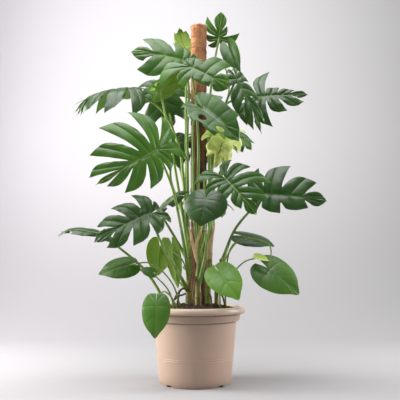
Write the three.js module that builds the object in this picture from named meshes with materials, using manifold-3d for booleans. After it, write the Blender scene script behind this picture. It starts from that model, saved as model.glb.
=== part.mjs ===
// A potted Swiss cheese plant (Monstera deliciosa) tied to a coir climbing pole, in a plastic nursery tub.
// Millimetres, +Z up. The origin is the centre of the tub's flat underside, and -Y is the plant's front.
import * as THREE from "three";
import { mergeVertices } from "three/addons/utils/BufferGeometryUtils.js";
import Module from "manifold-3d";

const wasm = await Module();
wasm.setup();

// Tub
const TUB_HEIGHT = 280;
const RIM_RADIUS = 190;
const RIM_BEAD = 13;
const COLLAR_RADIUS = 170;
const COLLAR_TOP = 255;
const COLLAR_BOTTOM = 227;
const BODY_RADIUS = 155;
const BASE_RADIUS = 134;
const BASE_ROUND = 12;
const TUB_WALL = 4;
const TUB_FACETS = 36;
const SLOT_COUNT = 4;
const SLOT_SIZE = [24, 30, 8];

// Soil
const SOIL_EDGE = 268;
const SOIL_CROWN = 22;
const SOIL_FACETS = 18;
const SOIL_RINGS = 4;
const SOIL_LUMP = 4;
const SOIL_LUMP_SPREAD = 10;

// Pole
const POLE_X = 13;
const POLE_Y = 20;
const POLE_RADIUS = 31;
const POLE_TOP = 1395;
const POLE_CAP = 14;
const POLE_FOOT = 236;
const CORE_RADIUS = 14;
const CORE_FOOT = 30;

// Leaves
const GAP = 0.35;
const BLADE_THICKNESS = 1.2;
const SINUS_ANGLE = 165;
const VEIN_SPREAD = 1.7;
const MIDRIB_SPAN = 0.58;
const MIDRIB_EASE = 1.4;
const VEIN_BOW = 0.12;
const SLIT_WIDTH = 0.14;
const HOLE_WIDTH = 0.25;
const FINGER_POINT = 0.08;
const FINGER_NOTCH = 0.24;
const DRIP_TIP = 0.12;
const DRIP_TIP_ANGLE = 9;
const PETIOLE_SIDES = 5;
const PETIOLE_RADII = [7, 4];
const THIN_PETIOLE_RADII = [3.6, 2.4];
const JUNCTION_OFFSET = 5;
const ROOT_LEVELS = [225, 250];
const STEM_SIDES = 8;
const ROOT_RADII = [3.5, 2];
const SHEATH_RADII = [6, 2];
const DEGREE = Math.PI / 180;

// How far the blade's outline lies from the petiole's junction, as a share of the midrib, at each angle
// from the tip.
const OUTLINE = [
  [0, 1.0],
  [15, 0.93],
  [30, 0.84],
  [55, 0.7],
  [82, 0.61],
  [110, 0.55],
  [137, 0.49],
  [165, 0.37],
];

const MATERIALS = {
  tub: new THREE.MeshStandardMaterial({ color: 0xc4a894, roughness: 0.5, metalness: 0 }),
  soil: new THREE.MeshStandardMaterial({ color: 0x2e211b, roughness: 1, metalness: 0 }),
  coir: new THREE.MeshStandardMaterial({ color: 0xa66a42, roughness: 0.95, metalness: 0 }),
  timber: new THREE.MeshStandardMaterial({ color: 0xb08d62, roughness: 0.8, metalness: 0 }),
  stem: new THREE.MeshStandardMaterial({ color: 0x6f8c45, roughness: 0.5, metalness: 0 }),
  dark: new THREE.MeshStandardMaterial({ color: 0x2f5230, roughness: 0.35, metalness: 0 }),
  green: new THREE.MeshStandardMaterial({ color: 0x3f7034, roughness: 0.35, metalness: 0 }),
  bright: new THREE.MeshStandardMaterial({ color: 0x5d9638, roughness: 0.35, metalness: 0 }),
  young: new THREE.MeshStandardMaterial({ color: 0x9cc44a, roughness: 0.35, metalness: 0 }),
};

// The stems' centre lines, from inside the soil to their cut or growing tips. Roots and dried sheaths are
// lists of points that start on the stem.
const STEMS = {
  left: {
    line: [
      [-26, -22, 180],
      [-26, -22, 330],
      [-21, -25, 440],
      [-27, -21, 520],
      [-33, -12, 640],
      [-34, 10, 920],
    ],
    radii: [12, 7],
    roots: [
      [[-28, -22, 330], [-62, -30, 318], [-84, -40, 296], [-92, -44, 262]],
      [[-28, -20, 350], [-55, -2, 340], [-66, 8, 300], [-68, 10, 262]],
      [[-27, -24, 345], [-52, -50, 345], [-74, -70, 313], [-92, -78, 262]],
    ],
    sheaths: [],
  },
  front: {
    line: [
      [10, -50, 180],
      [10, -50, 330],
      [16, -50, 450],
      [30, -46, 560],
      [36, -42, 660],
      [40, -40, 780],
    ],
    radii: [14, 7],
    roots: [
      [[11, -50, 345], [20, -72, 325], [24, -86, 262]],
      [[11, -50, 400], [0, -64, 378], [-6, -72, 328], [2, -80, 262]],
    ],
    sheaths: [
      [[14, -50, 424], [3, -62, 500], [14, -72, 540], [29, -74, 581]],
      [[13, -49, 430], [-10, -60, 515], [-17, -62, 552], [-27, -58, 578]],
    ],
  },
  right: {
    line: [[47, -34, 180], [48, -28, 330], [57, -10, 520], [58, 8, 720], [56, 18, 900], [55, 26, 1040]],
    radii: [13, 7],
    roots: [[[48, -28, 335], [58, -50, 315], [58, -62, 262]]],
    sheaths: [[[51, -20, 440], [57, -44, 515], [67, -52, 556], [74, -50, 594]]],
  },
  leaning: {
    line: [[76, -6, 180], [82, -8, 330], [92, -12, 400], [101, -14, 462]],
    radii: [11, 6],
    roots: [[[82, -8, 335], [104, -18, 315], [110, -24, 262]]],
    sheaths: [],
  },
};

// One row for each leaf. Its petiole leaves the named stem at height "node" (or the soil at "root"), runs
// through "route" and meets the blade at "at". "tip" is the end of the midrib, and "face" the way the upper
// side looks. "sinus" is the angle of the blade's last vein from the tip, "spread" how much the veins crowd
// towards the tip, and "span" the share of the midrib that bears them. "width" scales the blade sideways,
// "fingers" counts its fingers on each side, and "reach" stretches them one by one. "slit" is how deep the
// fingers are cut and "gap" how wide. "pierced" lists the veins of one half that have a hole, and "hole"
// says from where to where on the way out. "fold", "arch" and "curl" (degrees) are how far the blade is
// folded at the midrib, bowed across it and bent along it, and "droop" is how far its fingers hang.
const LEAVES = [
  { name: "leaf_top_right", stem: "right", node: 668,
    route: [[53, -14, 877], [57, -4, 1079], [78, 20, 1252]], at: [95, 30, 1344], tip: [103, 10, 1445],
    face: [-0.1, -0.95, 0.2], spread: 1.3, span: 0.2, reach: [[0.9, 0.9, 1.15, 1], [0.6, 1.2, 0.6, 1]],
    gap: 0.12, width: 1, fingers: 4, slit: 0.75, fold: 5, arch: 20, curl: 10, droop: 0.05, tone: "green",
    seed: 1 },
  { name: "leaf_top_right_low", stem: "right", node: 930,
    route: [[134, 20, 1128], [115, 30, 1247], [107, 24, 1304]], at: [134, 14, 1300], tip: [173, 0, 1207],
    face: [-0.5, -0.8, 0.2], reach: [[0.5, 0.5, 0.8], [0.7, 1, 1]], width: 0.62, fingers: 3, slit: 0,
    fold: 30, arch: 30, curl: 20, droop: 0, tone: "green", seed: 33 },
  { name: "leaf_top_left_bright", stem: "left", node: 890, route: [[-38, 48, 1050], [-38, 72, 1200]],
    at: [-40, 75, 1316], tip: [-69, 75, 1406], face: [-0.3, 0.9, 0.3], width: 0.8, fingers: 4, slit: 0.15,
    fold: 10, arch: 30, curl: 20, droop: 0.1, tone: "bright", seed: 2 },
  { name: "leaf_top_left", stem: "left", node: 560,
    route: [[-29, -42, 732], [-30, -44, 949], [-25, -42, 1108]], at: [-33, -40, 1225],
    tip: [-243, -80, 1250], face: [-0.2, -0.9, 0.3], spread: 1.6,
    reach: [[0.3, 0.45, 1.08, 1], [0.4, 0.6, 0.98, 1]], width: 0.9, fingers: 4, slit: 0.75, fold: 5,
    arch: 20, curl: 15, droop: 0.04, tone: "green", seed: 3 },
  { name: "leaf_top_front", stem: "front", node: 500,
    route: [[11, -66, 690], [12, -62, 886], [1, -84, 1063]], at: [-20, -116, 1173],
    tip: [126, -130, 1091], face: [0.12, -0.95, 0.2], sinus: 178, spread: 1.35,
    reach: [[0.45, 0.5, 1.15, 1], [1.6, 0.8, 0.45, 1]], gap: 0.1, width: 1, fingers: 4, slit: 0.75,
    fold: 5, arch: 20, curl: 15, droop: 0.04, tone: "green", seed: 4 },
  { name: "leaf_upper_left_backlit", stem: "left", node: 452,
    route: [[-46, -32, 618], [-65, -44, 728], [-96, -56, 907]], at: [-139, -62, 1097],
    tip: [-24, -62, 1169], face: [0.15, 0.93, 0.3], reach: [[0.3, 0.6, 0.9, 1], [0.3, 0.6, 0.9, 1]],
    width: 0.6, fingers: 4, slit: 0.2, fold: 10, arch: 30, curl: 15, droop: 0.1, tone: "bright",
    seed: 5 },
  { name: "leaf_upper_far_left", stem: "left", node: 640,
    route: [[-47, -26, 773], [-59, -20, 868], [-128, 12, 1035]], at: [-247, 0, 1129],
    tip: [-473, -60, 1039], face: [-0.3, -0.45, 0.85], reach: [[1, 1, 1, 1, 1], [0.5, 0.8, 1, 1, 1]],
    width: 0.8, fingers: 5, slit: 0.88, fold: 5, arch: 40, curl: 30, droop: 0.15, tone: "dark", seed: 6 },
  { name: "leaf_upper_back_left", stem: "left", node: 720, route: [[-72, 50, 860], [-100, 85, 1020]],
    at: [-139, 100, 1162], tip: [-105, 92, 995], face: [0, -0.9, 0.3], width: 1.2, fingers: 4, slit: 0.45,
    fold: 5, arch: 30, curl: 20, droop: 0.1, tone: "dark", seed: 7 },
  { name: "leaf_hero_left", stem: "left", node: 390, route: [[-56, -88, 591], [-84, -124, 716]],
    at: [-135, -150, 852], tip: [-342, -215, 713], face: [-0.05, -0.95, -0.15], sinus: 180, spread: 2,
    reach: [[0.9, 0.55, 0.72, 0.8, 0.8, 0.95], [1, 1.05, 1.12, 1.05, 1.1, 1]], width: 1, fingers: 6,
    slit: 0.8, fold: 5, arch: 15, curl: 15, droop: 0.04, tone: "green", seed: 8 },
  { name: "leaf_centre_front", stem: "front", node: 440,
    route: [[-6, -70, 656], [-8, -74, 864], [-4, -106, 972]], at: [29, -150, 1001], tip: [157, -190, 880],
    face: [0, -0.85, 0.4], spread: 1.2, reach: [[1, 1, 1, 1], [1, 1, 1, 1]], pierced: [2, 3],
    hole: [0.3, 0.72], width: 0.72, fingers: 4, slit: 0.15, fold: 22, arch: 10, curl: 15, droop: 0.04,
    tone: "green", seed: 9 },
  { name: "leaf_upper_right", stem: "right", node: 800, route: [[88, 0, 920], [112, -25, 1040]],
    at: [158, -40, 1161], tip: [254, -60, 941], face: [0.3, -0.9, 0.2],
    reach: [[0.4, 0.6, 0.8, 0.9, 1], [0.4, 0.8, 1, 1, 1]], width: 0.5, fingers: 5, slit: 0.8, fold: 5,
    arch: 20, curl: 15, droop: 0.04, tone: "dark", seed: 10 },
  { name: "leaf_upper_far_right", stem: "right", node: 880, route: [[85, 42, 980], [130, 74, 1090]],
    at: [261, 60, 1111], tip: [448, 40, 1118], face: [0.1, -0.9, 0.3],
    reach: [[1, 1.25, 0.35, 0.5, 1], [1.4, 1.2, 0.8, 0.95, 1]], width: 0.9, fingers: 5, slit: 0.8,
    fold: 5, arch: 20, curl: 10, droop: 0.04, tone: "dark", seed: 11 },
  { name: "leaf_young", stem: "right", node: 640, route: [[95, -20, 740], [108, -40, 850]],
    at: [113, -60, 929], tip: [74, -100, 802], face: [0.1, -0.95, 0.2], width: 0.9, fingers: 4, slit: 0.4,
    fold: 20, arch: 20, curl: 20, droop: 0.1, tone: "young", seed: 12 },
  { name: "leaf_middle_right_small", stem: "right", node: 700, route: [[100, 15, 800], [130, 5, 880]],
    at: [146, -20, 939], tip: [216, -50, 877], face: [0.1, -0.75, 0.6], width: 1, fingers: 4, slit: 0.3,
    fold: 5, arch: 40, curl: 20, droop: 0.1, tone: "green", seed: 13 },
  { name: "leaf_centre_right", stem: "front", node: 350,
    route: [[33, -72, 444], [47, -92, 542], [69, -118, 632]], at: [108, -160, 743], tip: [214, -200, 613],
    face: [0, -0.9, 0.3], spread: 1.5, reach: [[0.9, 0.97, 1.28, 1.13, 1], [1.25, 0.85, 0.62, 0.62, 1]],
    width: 1, fingers: 5, slit: 0.75, fold: 5, arch: 20, curl: 15, droop: 0.04, tone: "green", seed: 14 },
  { name: "leaf_middle_far_right", stem: "leaning", node: 430, route: [[150, 4, 565], [210, -30, 640]],
    at: [269, -40, 701], tip: [491, -60, 676], face: [0.1, -0.9, 0.2],
    reach: [[0.9, 0.9, 0.86, 1], [0.65, 0.5, 0.55, 1]], width: 1, fingers: 4, slit: 0.75, fold: 5,
    arch: 15, curl: 15, droop: 0.04, tone: "dark", seed: 15 },
  { name: "leaf_front_round", stem: "front", node: 460, route: [[34, -110, 520], [58, -172, 580]],
    at: [39, -202, 666], tip: [21, -227, 576], face: [-0.1, -0.75, 0.6], width: 1.4, fingers: 4, slit: 0,
    fold: 5, arch: 40, curl: 20, droop: 0, tone: "dark", seed: 16 },
  { name: "leaf_middle_left", stem: "left", node: 335,
    route: [[-55, -74, 393], [-87, -106, 451], [-129, -136, 529]], at: [-158, -110, 622],
    tip: [-355, -160, 521], face: [-0.1, -0.9, 0.35],
    reach: [[0.6, 0.6, 0.7, 0.9, 1], [0.3, 0.75, 0.75, 0.85, 1]], width: 1, fingers: 5, slit: 0.75,
    fold: 5, arch: 20, curl: 15, droop: 0.04, tone: "dark", seed: 17 },
  { name: "leaf_left_edge_on", stem: "left", node: 440, route: [[-84, -20, 548]], at: [-140, -60, 632],
    tip: [-30, -95, 717], face: [0, -0.5, 0.85], reach: [[0.6, 0.7, 0.85, 1], [0.4, 0.6, 0.9, 1]],
    width: 0.6, fingers: 4, slit: 0.6, fold: 5, arch: 30, curl: 20, droop: 0.1, tone: "dark", seed: 18 },
  { name: "leaf_low_left_back", stem: "left", node: 330, route: [[-100, 10, 420]], at: [-136, 10, 503],
    tip: [-141, -10, 405], face: [0, 0.95, 0.3], width: 0.85, fingers: 4, slit: 0, fold: 5, arch: 30,
    curl: 20, droop: 0, tone: "bright", seed: 19 },
  { name: "leaf_low_left_hanging", stem: "left", node: 365, route: [[-38, -52, 430], [-56, -60, 463]],
    at: [-85, -50, 489], tip: [-66, -44, 363], face: [0.2, 0.95, -0.1], width: 0.38, fingers: 3, slit: 0,
    fold: 10, arch: 20, curl: 10, droop: 0, tone: "green", seed: 34 },
  { name: "leaf_far_left_thin", root: [-96, -20], route: [[-180, 0, 400], [-290, -20, 500]],
    at: [-355, -60, 548], tip: [-501, -90, 554], face: [0.1, -0.3, 0.95], width: 0.6, fingers: 3,
    slit: 0.6, fold: 20, arch: 40, curl: 30, droop: 0.1, tone: "dark", seed: 27 },
  { name: "leaf_left_behind", stem: "left", node: 600, route: [[-76, 4, 700], [-98, 10, 780]],
    at: [-81, 18, 920], tip: [-56, 14, 811], face: [0, -0.9, 0.4], width: 1.05, fingers: 4, slit: 0.3,
    fold: 5, arch: 40, curl: 20, droop: 0.1, tone: "dark", seed: 28 },
  { name: "leaf_back_upper", stem: "right", node: 760, route: [[70, 62, 860], [62, 110, 930]],
    at: [52, 160, 980], tip: [80, 350, 900], face: [0.1, 0.4, 0.9], width: 1, fingers: 4, slit: 0.85,
    fold: 5, arch: 40, curl: 30, droop: 0.1, tone: "dark", seed: 29 },
  { name: "leaf_back_lower", stem: "right", node: 560, route: [[74, 50, 640], [56, 110, 690]],
    at: [30, 170, 725], tip: [50, 360, 650], face: [0, 0.4, 0.9], width: 1, fingers: 4, slit: 0.85,
    fold: 5, arch: 40, curl: 30, droop: 0.1, tone: "dark", seed: 30 },
  { name: "leaf_back_top", stem: "right", node: 840,
    route: [[50, 66, 900], [40, 70, 1010], [26, 120, 1085]], at: [20, 176, 1130], tip: [0, 330, 1120],
    face: [-0.1, 0.4, 0.9], width: 1, fingers: 3, slit: 0.8, fold: 5, arch: 40, curl: 30, droop: 0.1,
    tone: "green", seed: 31 },
  { name: "leaf_back_low", root: [24, 96], route: [[26, 150, 380]], at: [16, 190, 440],
    tip: [0, 300, 400], face: [0, 0.4, 0.9], width: 0.95, fingers: 4, slit: 0, fold: 5, arch: 30,
    curl: 20, droop: 0, tone: "green", seed: 32 },
  { name: "leaf_low_far_left", root: [-50, -72], route: [[-84, -92, 368], [-166, -80, 440]],
    at: [-244, -70, 433], tip: [-338, -100, 404], face: [-0.1, -0.8, 0.5], width: 0.8, fingers: 4,
    slit: 0, fold: 5, arch: 30, curl: 20, droop: 0, tone: "green", seed: 20 },
  { name: "leaf_low_left_small", root: [-72, -78], route: [[-96, -92, 340]], at: [-153, -100, 406],
    tip: [-195, -108, 415], face: [-0.1, -0.8, 0.5], width: 0.8, fingers: 4, slit: 0, fold: 5, arch: 30,
    curl: 20, droop: 0, tone: "green", seed: 21 },
  { name: "leaf_over_rim", root: [-56, -98], route: [[-84, -140, 320], [-112, -190, 340]],
    at: [-132, -215, 300], tip: [-133, -235, 199], face: [-0.1, -0.98, 0.15], sinus: 178, width: 0.8,
    fingers: 4, slit: 0, fold: 5, arch: 30, curl: 20, droop: 0, tone: "green", seed: 22 },
  { name: "leaf_low_right_round", root: [92, -62], route: [[90, -100, 350]], at: [88, -160, 404],
    tip: [145, -200, 323], face: [0.1, -0.9, 0.4], sinus: 176, width: 0.95, fingers: 4, slit: 0, fold: 12,
    arch: 30, curl: 20, droop: 0, tone: "bright", seed: 23 },
  { name: "leaf_low_far_right", root: [112, -30],
    route: [[135, -92, 502], [201, -95, 528], [274, -92, 502]], at: [267, -70, 422],
    tip: [364, -100, 338], face: [0.1, -0.85, 0.5], width: 0.95, fingers: 4, slit: 0, fold: 5, arch: 30,
    curl: 20, droop: 0, tone: "green", seed: 24 },
  { name: "leaf_low_right_folded", stem: "leaning", node: 390, route: [[115, -50, 459], [152, -52, 515]],
    at: [179, -45, 542], tip: [282, -62, 507], face: [0.1, -0.5, 0.85], width: 0.9, fingers: 4, slit: 0,
    fold: 10, arch: 40, curl: 20, droop: 0, tone: "dark", seed: 25 },
  { name: "leaf_low_right_rolled", stem: "leaning", node: 350, route: [[116, -12, 377], [182, -50, 444]],
    at: [226, -100, 462], tip: [264, -112, 449], face: [0.2, -0.8, 0.5], width: 0.6, fingers: 4, slit: 0,
    fold: 20, arch: 0, curl: 10, droop: 0, tone: "young", seed: 26 },
];

// ---- Solids --------------------------------------------------------------------------------------------

// A closed geometry as a manifold solid. A surface that came out facing inwards is turned round.
function solidOf(geometry) {
  const bare = geometry.clone();
  for (const name of Object.keys(bare.attributes)) if (name !== "position") bare.deleteAttribute(name);
  const merged = mergeVertices(bare, 1e-3);
  const triVerts = new Uint32Array(merged.index.array);
  const vertProperties = new Float32Array(merged.attributes.position.array);
  const solid = new wasm.Manifold(new wasm.Mesh({ numProp: 3, vertProperties, triVerts }));
  if (solid.volume() > 0) return solid;
  for (let i = 0; i < triVerts.length; i += 3) {
    [triVerts[i + 1], triVerts[i + 2]] = [triVerts[i + 2], triVerts[i + 1]];
  }
  return new wasm.Manifold(new wasm.Mesh({ numProp: 3, vertProperties, triVerts }));
}

// A manifold solid as a geometry. Booleans leave slivers, and the largest body is the piece itself.
function geometryOf(solid) {
  const body = solid.decompose().reduce((a, b) => (b.volume() > a.volume() ? b : a));
  const mesh = body.getMesh();
  const geometry = new THREE.BufferGeometry();
  geometry.setAttribute("position", new THREE.BufferAttribute(new Float32Array(mesh.vertProperties), 3));
  geometry.setIndex(new THREE.BufferAttribute(new Uint32Array(mesh.triVerts), 1));
  return geometry;
}

function lathe(profile, facets) {
  return new THREE.LatheGeometry(profile.map(([r, z]) => new THREE.Vector2(r, z)), facets).rotateX(
    Math.PI / 2,
  );
}

// A tapering tube along a smooth curve through the points: a straight extruded polygon, bent to the curve.
function tube(points, [startRadius, endRadius], sides, steps) {
  const curve = new THREE.CatmullRomCurve3(points.map((p) => new THREE.Vector3(...p)), false, "centripetal");
  const frames = curve.computeFrenetFrames(steps, false);
  const section = new THREE.Shape();
  for (let i = 0; i < sides; i++) {
    const angle = (i / sides) * 2 * Math.PI;
    section[i ? "lineTo" : "moveTo"](Math.cos(angle), Math.sin(angle));
  }
  const geometry = new THREE.ExtrudeGeometry(section, { depth: 1, steps, bevelEnabled: false });
  const position = geometry.attributes.position;
  const point = new THREE.Vector3();
  for (let i = 0; i < position.count; i++) {
    const step = Math.round(position.getZ(i) * steps);
    const radius = THREE.MathUtils.lerp(startRadius, endRadius, step / steps);
    curve.getPointAt(step / steps, point);
    point.addScaledVector(frames.normals[step], position.getX(i) * radius);
    point.addScaledVector(frames.binormals[step], position.getY(i) * radius);
    position.setXYZ(i, point.x, point.y, point.z);
  }
  return geometry;
}

// ---- Blades --------------------------------------------------------------------------------------------

// Mulberry32: the same numbers for the same seed, each time.
function randomFrom(seed) {
  let state = seed * 7919;
  return () => {
    state = (state + 0x6d2b79f5) | 0;
    let t = Math.imul(state ^ (state >>> 15), 1 | state);
    t = (t + Math.imul(t ^ (t >>> 7), 61 | t)) ^ t;
    return ((t ^ (t >>> 14)) >>> 0) / 4294967296;
  };
}

function outlineAt(angle) {
  const next = OUTLINE.findIndex(([a]) => a >= angle);
  if (next < 0) return OUTLINE.at(-1)[1];
  if (next === 0) return OUTLINE[0][1];
  const [a0, r0] = OUTLINE[next - 1];
  const [a1, r1] = OUTLINE[next];
  return THREE.MathUtils.mapLinear(angle, a0, a1, r0, r1);
}

// Where the vein numbered k (0 at the sinus, "fingers" at the tip) leaves the midrib.
function midribShare(leaf, k) {
  const share = Math.min(Math.max((k - 1) / (leaf.fingers - 2), 0), 1);
  return (leaf.span ?? MIDRIB_SPAN) * Math.pow(share, MIDRIB_EASE);
}

// A point on the flat blade, s of the way out along vein k: u along the midrib, v across it.
function flatPoint(leaf, length, k, s) {
  const start = midribShare(leaf, k) * length;
  const angle = (leaf.sinus ?? SINUS_ANGLE) * Math.pow(1 - k / leaf.fingers, leaf.spread ?? VEIN_SPREAD);
  const tip = leaf.slit > 0 ? 0 : DRIP_TIP * Math.exp(-((angle / DRIP_TIP_ANGLE) ** 2));
  const reach = outlineAt(angle) * (1 + tip) * length;
  const endU = reach * Math.cos(angle * DEGREE);
  const endV = reach * Math.sin(angle * DEGREE) * leaf.width;
  const bow = VEIN_BOW * Math.hypot(endU - start, endV) * Math.sin(angle * DEGREE);
  const middleU = (start + endU) / 2 - bow;
  const middleV = endV / 2;
  const u = (1 - s) * (1 - s) * start + 2 * s * (1 - s) * middleU + s * s * endU;
  const v = 2 * s * (1 - s) * middleV + s * s * endV;
  return [u, v];
}

// The blade's surface: flat coordinates bent along and across the midrib, then set in the leaf's place.
function bladeSurface(leaf) {
  const at = new THREE.Vector3(...leaf.at);
  const along = new THREE.Vector3(...leaf.tip).sub(at);
  const chord = along.length();
  along.normalize();
  const up = new THREE.Vector3(...leaf.face);
  up.addScaledVector(along, -up.dot(along)).normalize();
  const across = new THREE.Vector3().crossVectors(up, along);
  const curl = Math.max(leaf.curl, 0.1) * DEGREE;
  const length = (chord * curl) / 2 / Math.sin(curl / 2);
  const fold = leaf.fold * DEGREE;
  const bend = (Math.max(leaf.arch, 0.1) * DEGREE) / (0.6 * length * leaf.width);
  const place = (u, v, drop) => {
    const turn = (curl * u) / length;
    const slope = curl / 2 - turn;
    const x = ((Math.sin(curl / 2) - Math.sin(slope)) * length) / curl;
    const z = ((Math.cos(slope) - Math.cos(curl / 2)) * length) / curl;
    const lean = fold - bend * Math.abs(v);
    const y = (Math.sign(v) * (Math.sin(fold) - Math.sin(lean))) / bend;
    const rise = (Math.cos(lean) - Math.cos(fold)) / bend - drop;
    return at
      .clone()
      .addScaledVector(along, x - rise * Math.sin(slope))
      .addScaledVector(across, y)
      .addScaledVector(up, z + rise * Math.cos(slope));
  };
  return { length, place };
}

// How far a finger's edge stands back from vein k beside it, as a share of the way to the next vein: there
// may be a lens-shaped hole on the vein, and the slit runs out to the margin.
function edgeGap(leaf, side, k, s) {
  const [from, to] = side < 0 && leaf.pierced?.includes(k) ? leaf.hole : [0, 0];
  if (s > from && s < to) return HOLE_WIDTH * Math.sin((Math.PI * (s - from)) / (to - from));
  const open = Math.max(0, s - 1 + leaf.slit);
  return open > 0 ? (leaf.gap ?? SLIT_WIDTH) * Math.sqrt(open / leaf.slit) : 0;
}

// Where a finger ends: rounded off towards the petiole, pointed towards the blade's tip.
function fingerEnd(finger, t) {
  const notch = finger > 0 ? FINGER_NOTCH * Math.pow(1 - t, 2.5) : 0;
  return 1 + FINGER_POINT * Math.pow(t, 4) - notch;
}

// The blade as a closed sheet of even thickness. Each finger is a strip between two veins; neighbours share
// the vein's points up to the slit and part beyond it.
function bladeGeometry(leaf) {
  const { length, place } = bladeSurface(leaf);
  const random = randomFrom(leaf.seed);
  const cut = leaf.slit > 0;
  const slitStart = cut ? 1 - leaf.slit : 1;
  const hole = leaf.hole ? [leaf.hole[0], (leaf.hole[0] + leaf.hole[1]) / 2, leaf.hole[1]] : [];
  const rows = cut ? [0, ...hole, slitStart, (1 + slitStart) / 2, 1] : [0, 0.5, 1];
  const columns = [0, 0.5, 1];
  const points = [];
  const faces = [];
  for (const side of [1, -1]) {
    for (let finger = 0; finger < leaf.fingers; finger++) {
      const reach = leaf.reach ? leaf.reach[side > 0 ? 0 : 1][finger] : 0.94 + 0.12 * random();
      const droop = leaf.droop * (0.6 + 0.8 * random());
      const twist = (random() - 0.5) * 2 * leaf.droop;
      const grid = rows.map((s) =>
        columns.map((t) => {
          const open = Math.max(0, s - slitStart) / Math.max(1 - slitStart, 1e-6);
          const low = finger > 0 ? edgeGap(leaf, side, finger, s) : 0;
          const high = finger < leaf.fingers - 1 ? edgeGap(leaf, side, finger + 1, s) : 0;
          const stretch = 1 + (fingerEnd(finger, t) * reach - 1) * open;
          const [u, v] = flatPoint(leaf, length, finger + low + (1 - low - high) * t, s * stretch);
          const drop = length * open * open * (droop + twist * (t - 0.5));
          points.push(place(u, side * v, cut ? drop : 0));
          return points.length - 1;
        }),
      );
      for (let i = 0; i + 1 < rows.length; i++) {
        for (let j = 0; j + 1 < columns.length; j++) {
          const [a, b, c, d] = [grid[i][j], grid[i + 1][j], grid[i + 1][j + 1], grid[i][j + 1]];
          const quad = [[a, b, c], [a, c, d]];
          faces.push(...quad.map(([p, q, r]) => (side > 0 ? [p, q, r] : [p, r, q])));
        }
      }
    }
  }
  return thicken(points, faces);
}

// An open sheet of triangles as a closed one: the sheet's two faces lie half the thickness to each side.
function thicken(points, faces) {
  const keys = new Map();
  const merged = [];
  const index = points.map((p) => {
    const key = p.toArray().map((c) => Math.round(c * 20)).join();
    if (!keys.has(key)) keys.set(key, merged.push(p) - 1);
    return keys.get(key);
  });
  const sheet = faces
    .map((face) => face.map((i) => index[i]))
    .filter(([a, b, c]) => a !== b && b !== c && c !== a);
  const normals = merged.map(() => new THREE.Vector3());
  const edges = new Set();
  for (const [a, b, c] of sheet) {
    const normal = new THREE.Vector3().subVectors(merged[b], merged[a]);
    normal.cross(new THREE.Vector3().subVectors(merged[c], merged[a]));
    for (const i of [a, b, c]) normals[i].add(normal);
    for (const [i, j] of [[a, b], [b, c], [c, a]]) edges.add(i + "," + j);
  }
  const half = BLADE_THICKNESS / 2;
  const position = [];
  for (const side of [half, -half]) {
    merged.forEach((p, i) => position.push(...p.clone().addScaledVector(normals[i].normalize(), side)));
  }
  const under = merged.length;
  const triangles = [];
  for (const [a, b, c] of sheet) {
    triangles.push(a, b, c, a + under, c + under, b + under);
    for (const [i, j] of [[a, b], [b, c], [c, a]]) {
      if (edges.has(j + "," + i)) continue;
      triangles.push(i, i + under, j + under, i, j + under, j);
    }
  }
  const geometry = new THREE.BufferGeometry();
  geometry.setAttribute("position", new THREE.Float32BufferAttribute(position, 3));
  geometry.setIndex(triangles);
  return geometry;
}

// ---- Pieces --------------------------------------------------------------------------------------------

function wallRadius(z) {
  if (z < COLLAR_BOTTOM) {
    return THREE.MathUtils.mapLinear(z, 0, COLLAR_BOTTOM, BASE_RADIUS, BODY_RADIUS) - TUB_WALL;
  }
  return THREE.MathUtils.mapLinear(z, COLLAR_BOTTOM, TUB_HEIGHT, BODY_RADIUS, COLLAR_RADIUS) - TUB_WALL;
}

function tub() {
  const bead = TUB_HEIGHT - RIM_BEAD;
  const outside = [
    [0, 0],
    [BASE_RADIUS - BASE_ROUND, 0],
    [BASE_RADIUS - BASE_ROUND * 0.3, BASE_ROUND * 0.3],
    [BASE_RADIUS + 1, BASE_ROUND],
    [BODY_RADIUS, COLLAR_BOTTOM],
    [COLLAR_RADIUS - 3, COLLAR_BOTTOM + 3],
    [COLLAR_RADIUS, COLLAR_TOP],
    [RIM_RADIUS - 8, COLLAR_TOP],
    [RIM_RADIUS - 1, bead - RIM_BEAD * 0.5],
    [RIM_RADIUS, bead],
    [RIM_RADIUS - 4, TUB_HEIGHT - 4],
    [RIM_RADIUS - 12, TUB_HEIGHT],
  ];
  const inside = [TUB_HEIGHT, COLLAR_BOTTOM, TUB_WALL + 2].map((z) => [wallRadius(z), z]);
  const shell = lathe([...outside, ...inside, [0, TUB_WALL + 2]], TUB_FACETS);
  let solid = solidOf(shell);
  for (let i = 0; i < SLOT_COUNT; i++) {
    const slot = new THREE.BoxGeometry(...SLOT_SIZE);
    slot.translate(0, BASE_RADIUS, SLOT_SIZE[2] / 2 - 1);
    slot.rotateZ(((i + 0.5) / SLOT_COUNT) * 2 * Math.PI);
    solid = solid.subtract(solidOf(slot));
  }
  return solid;
}

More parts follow.
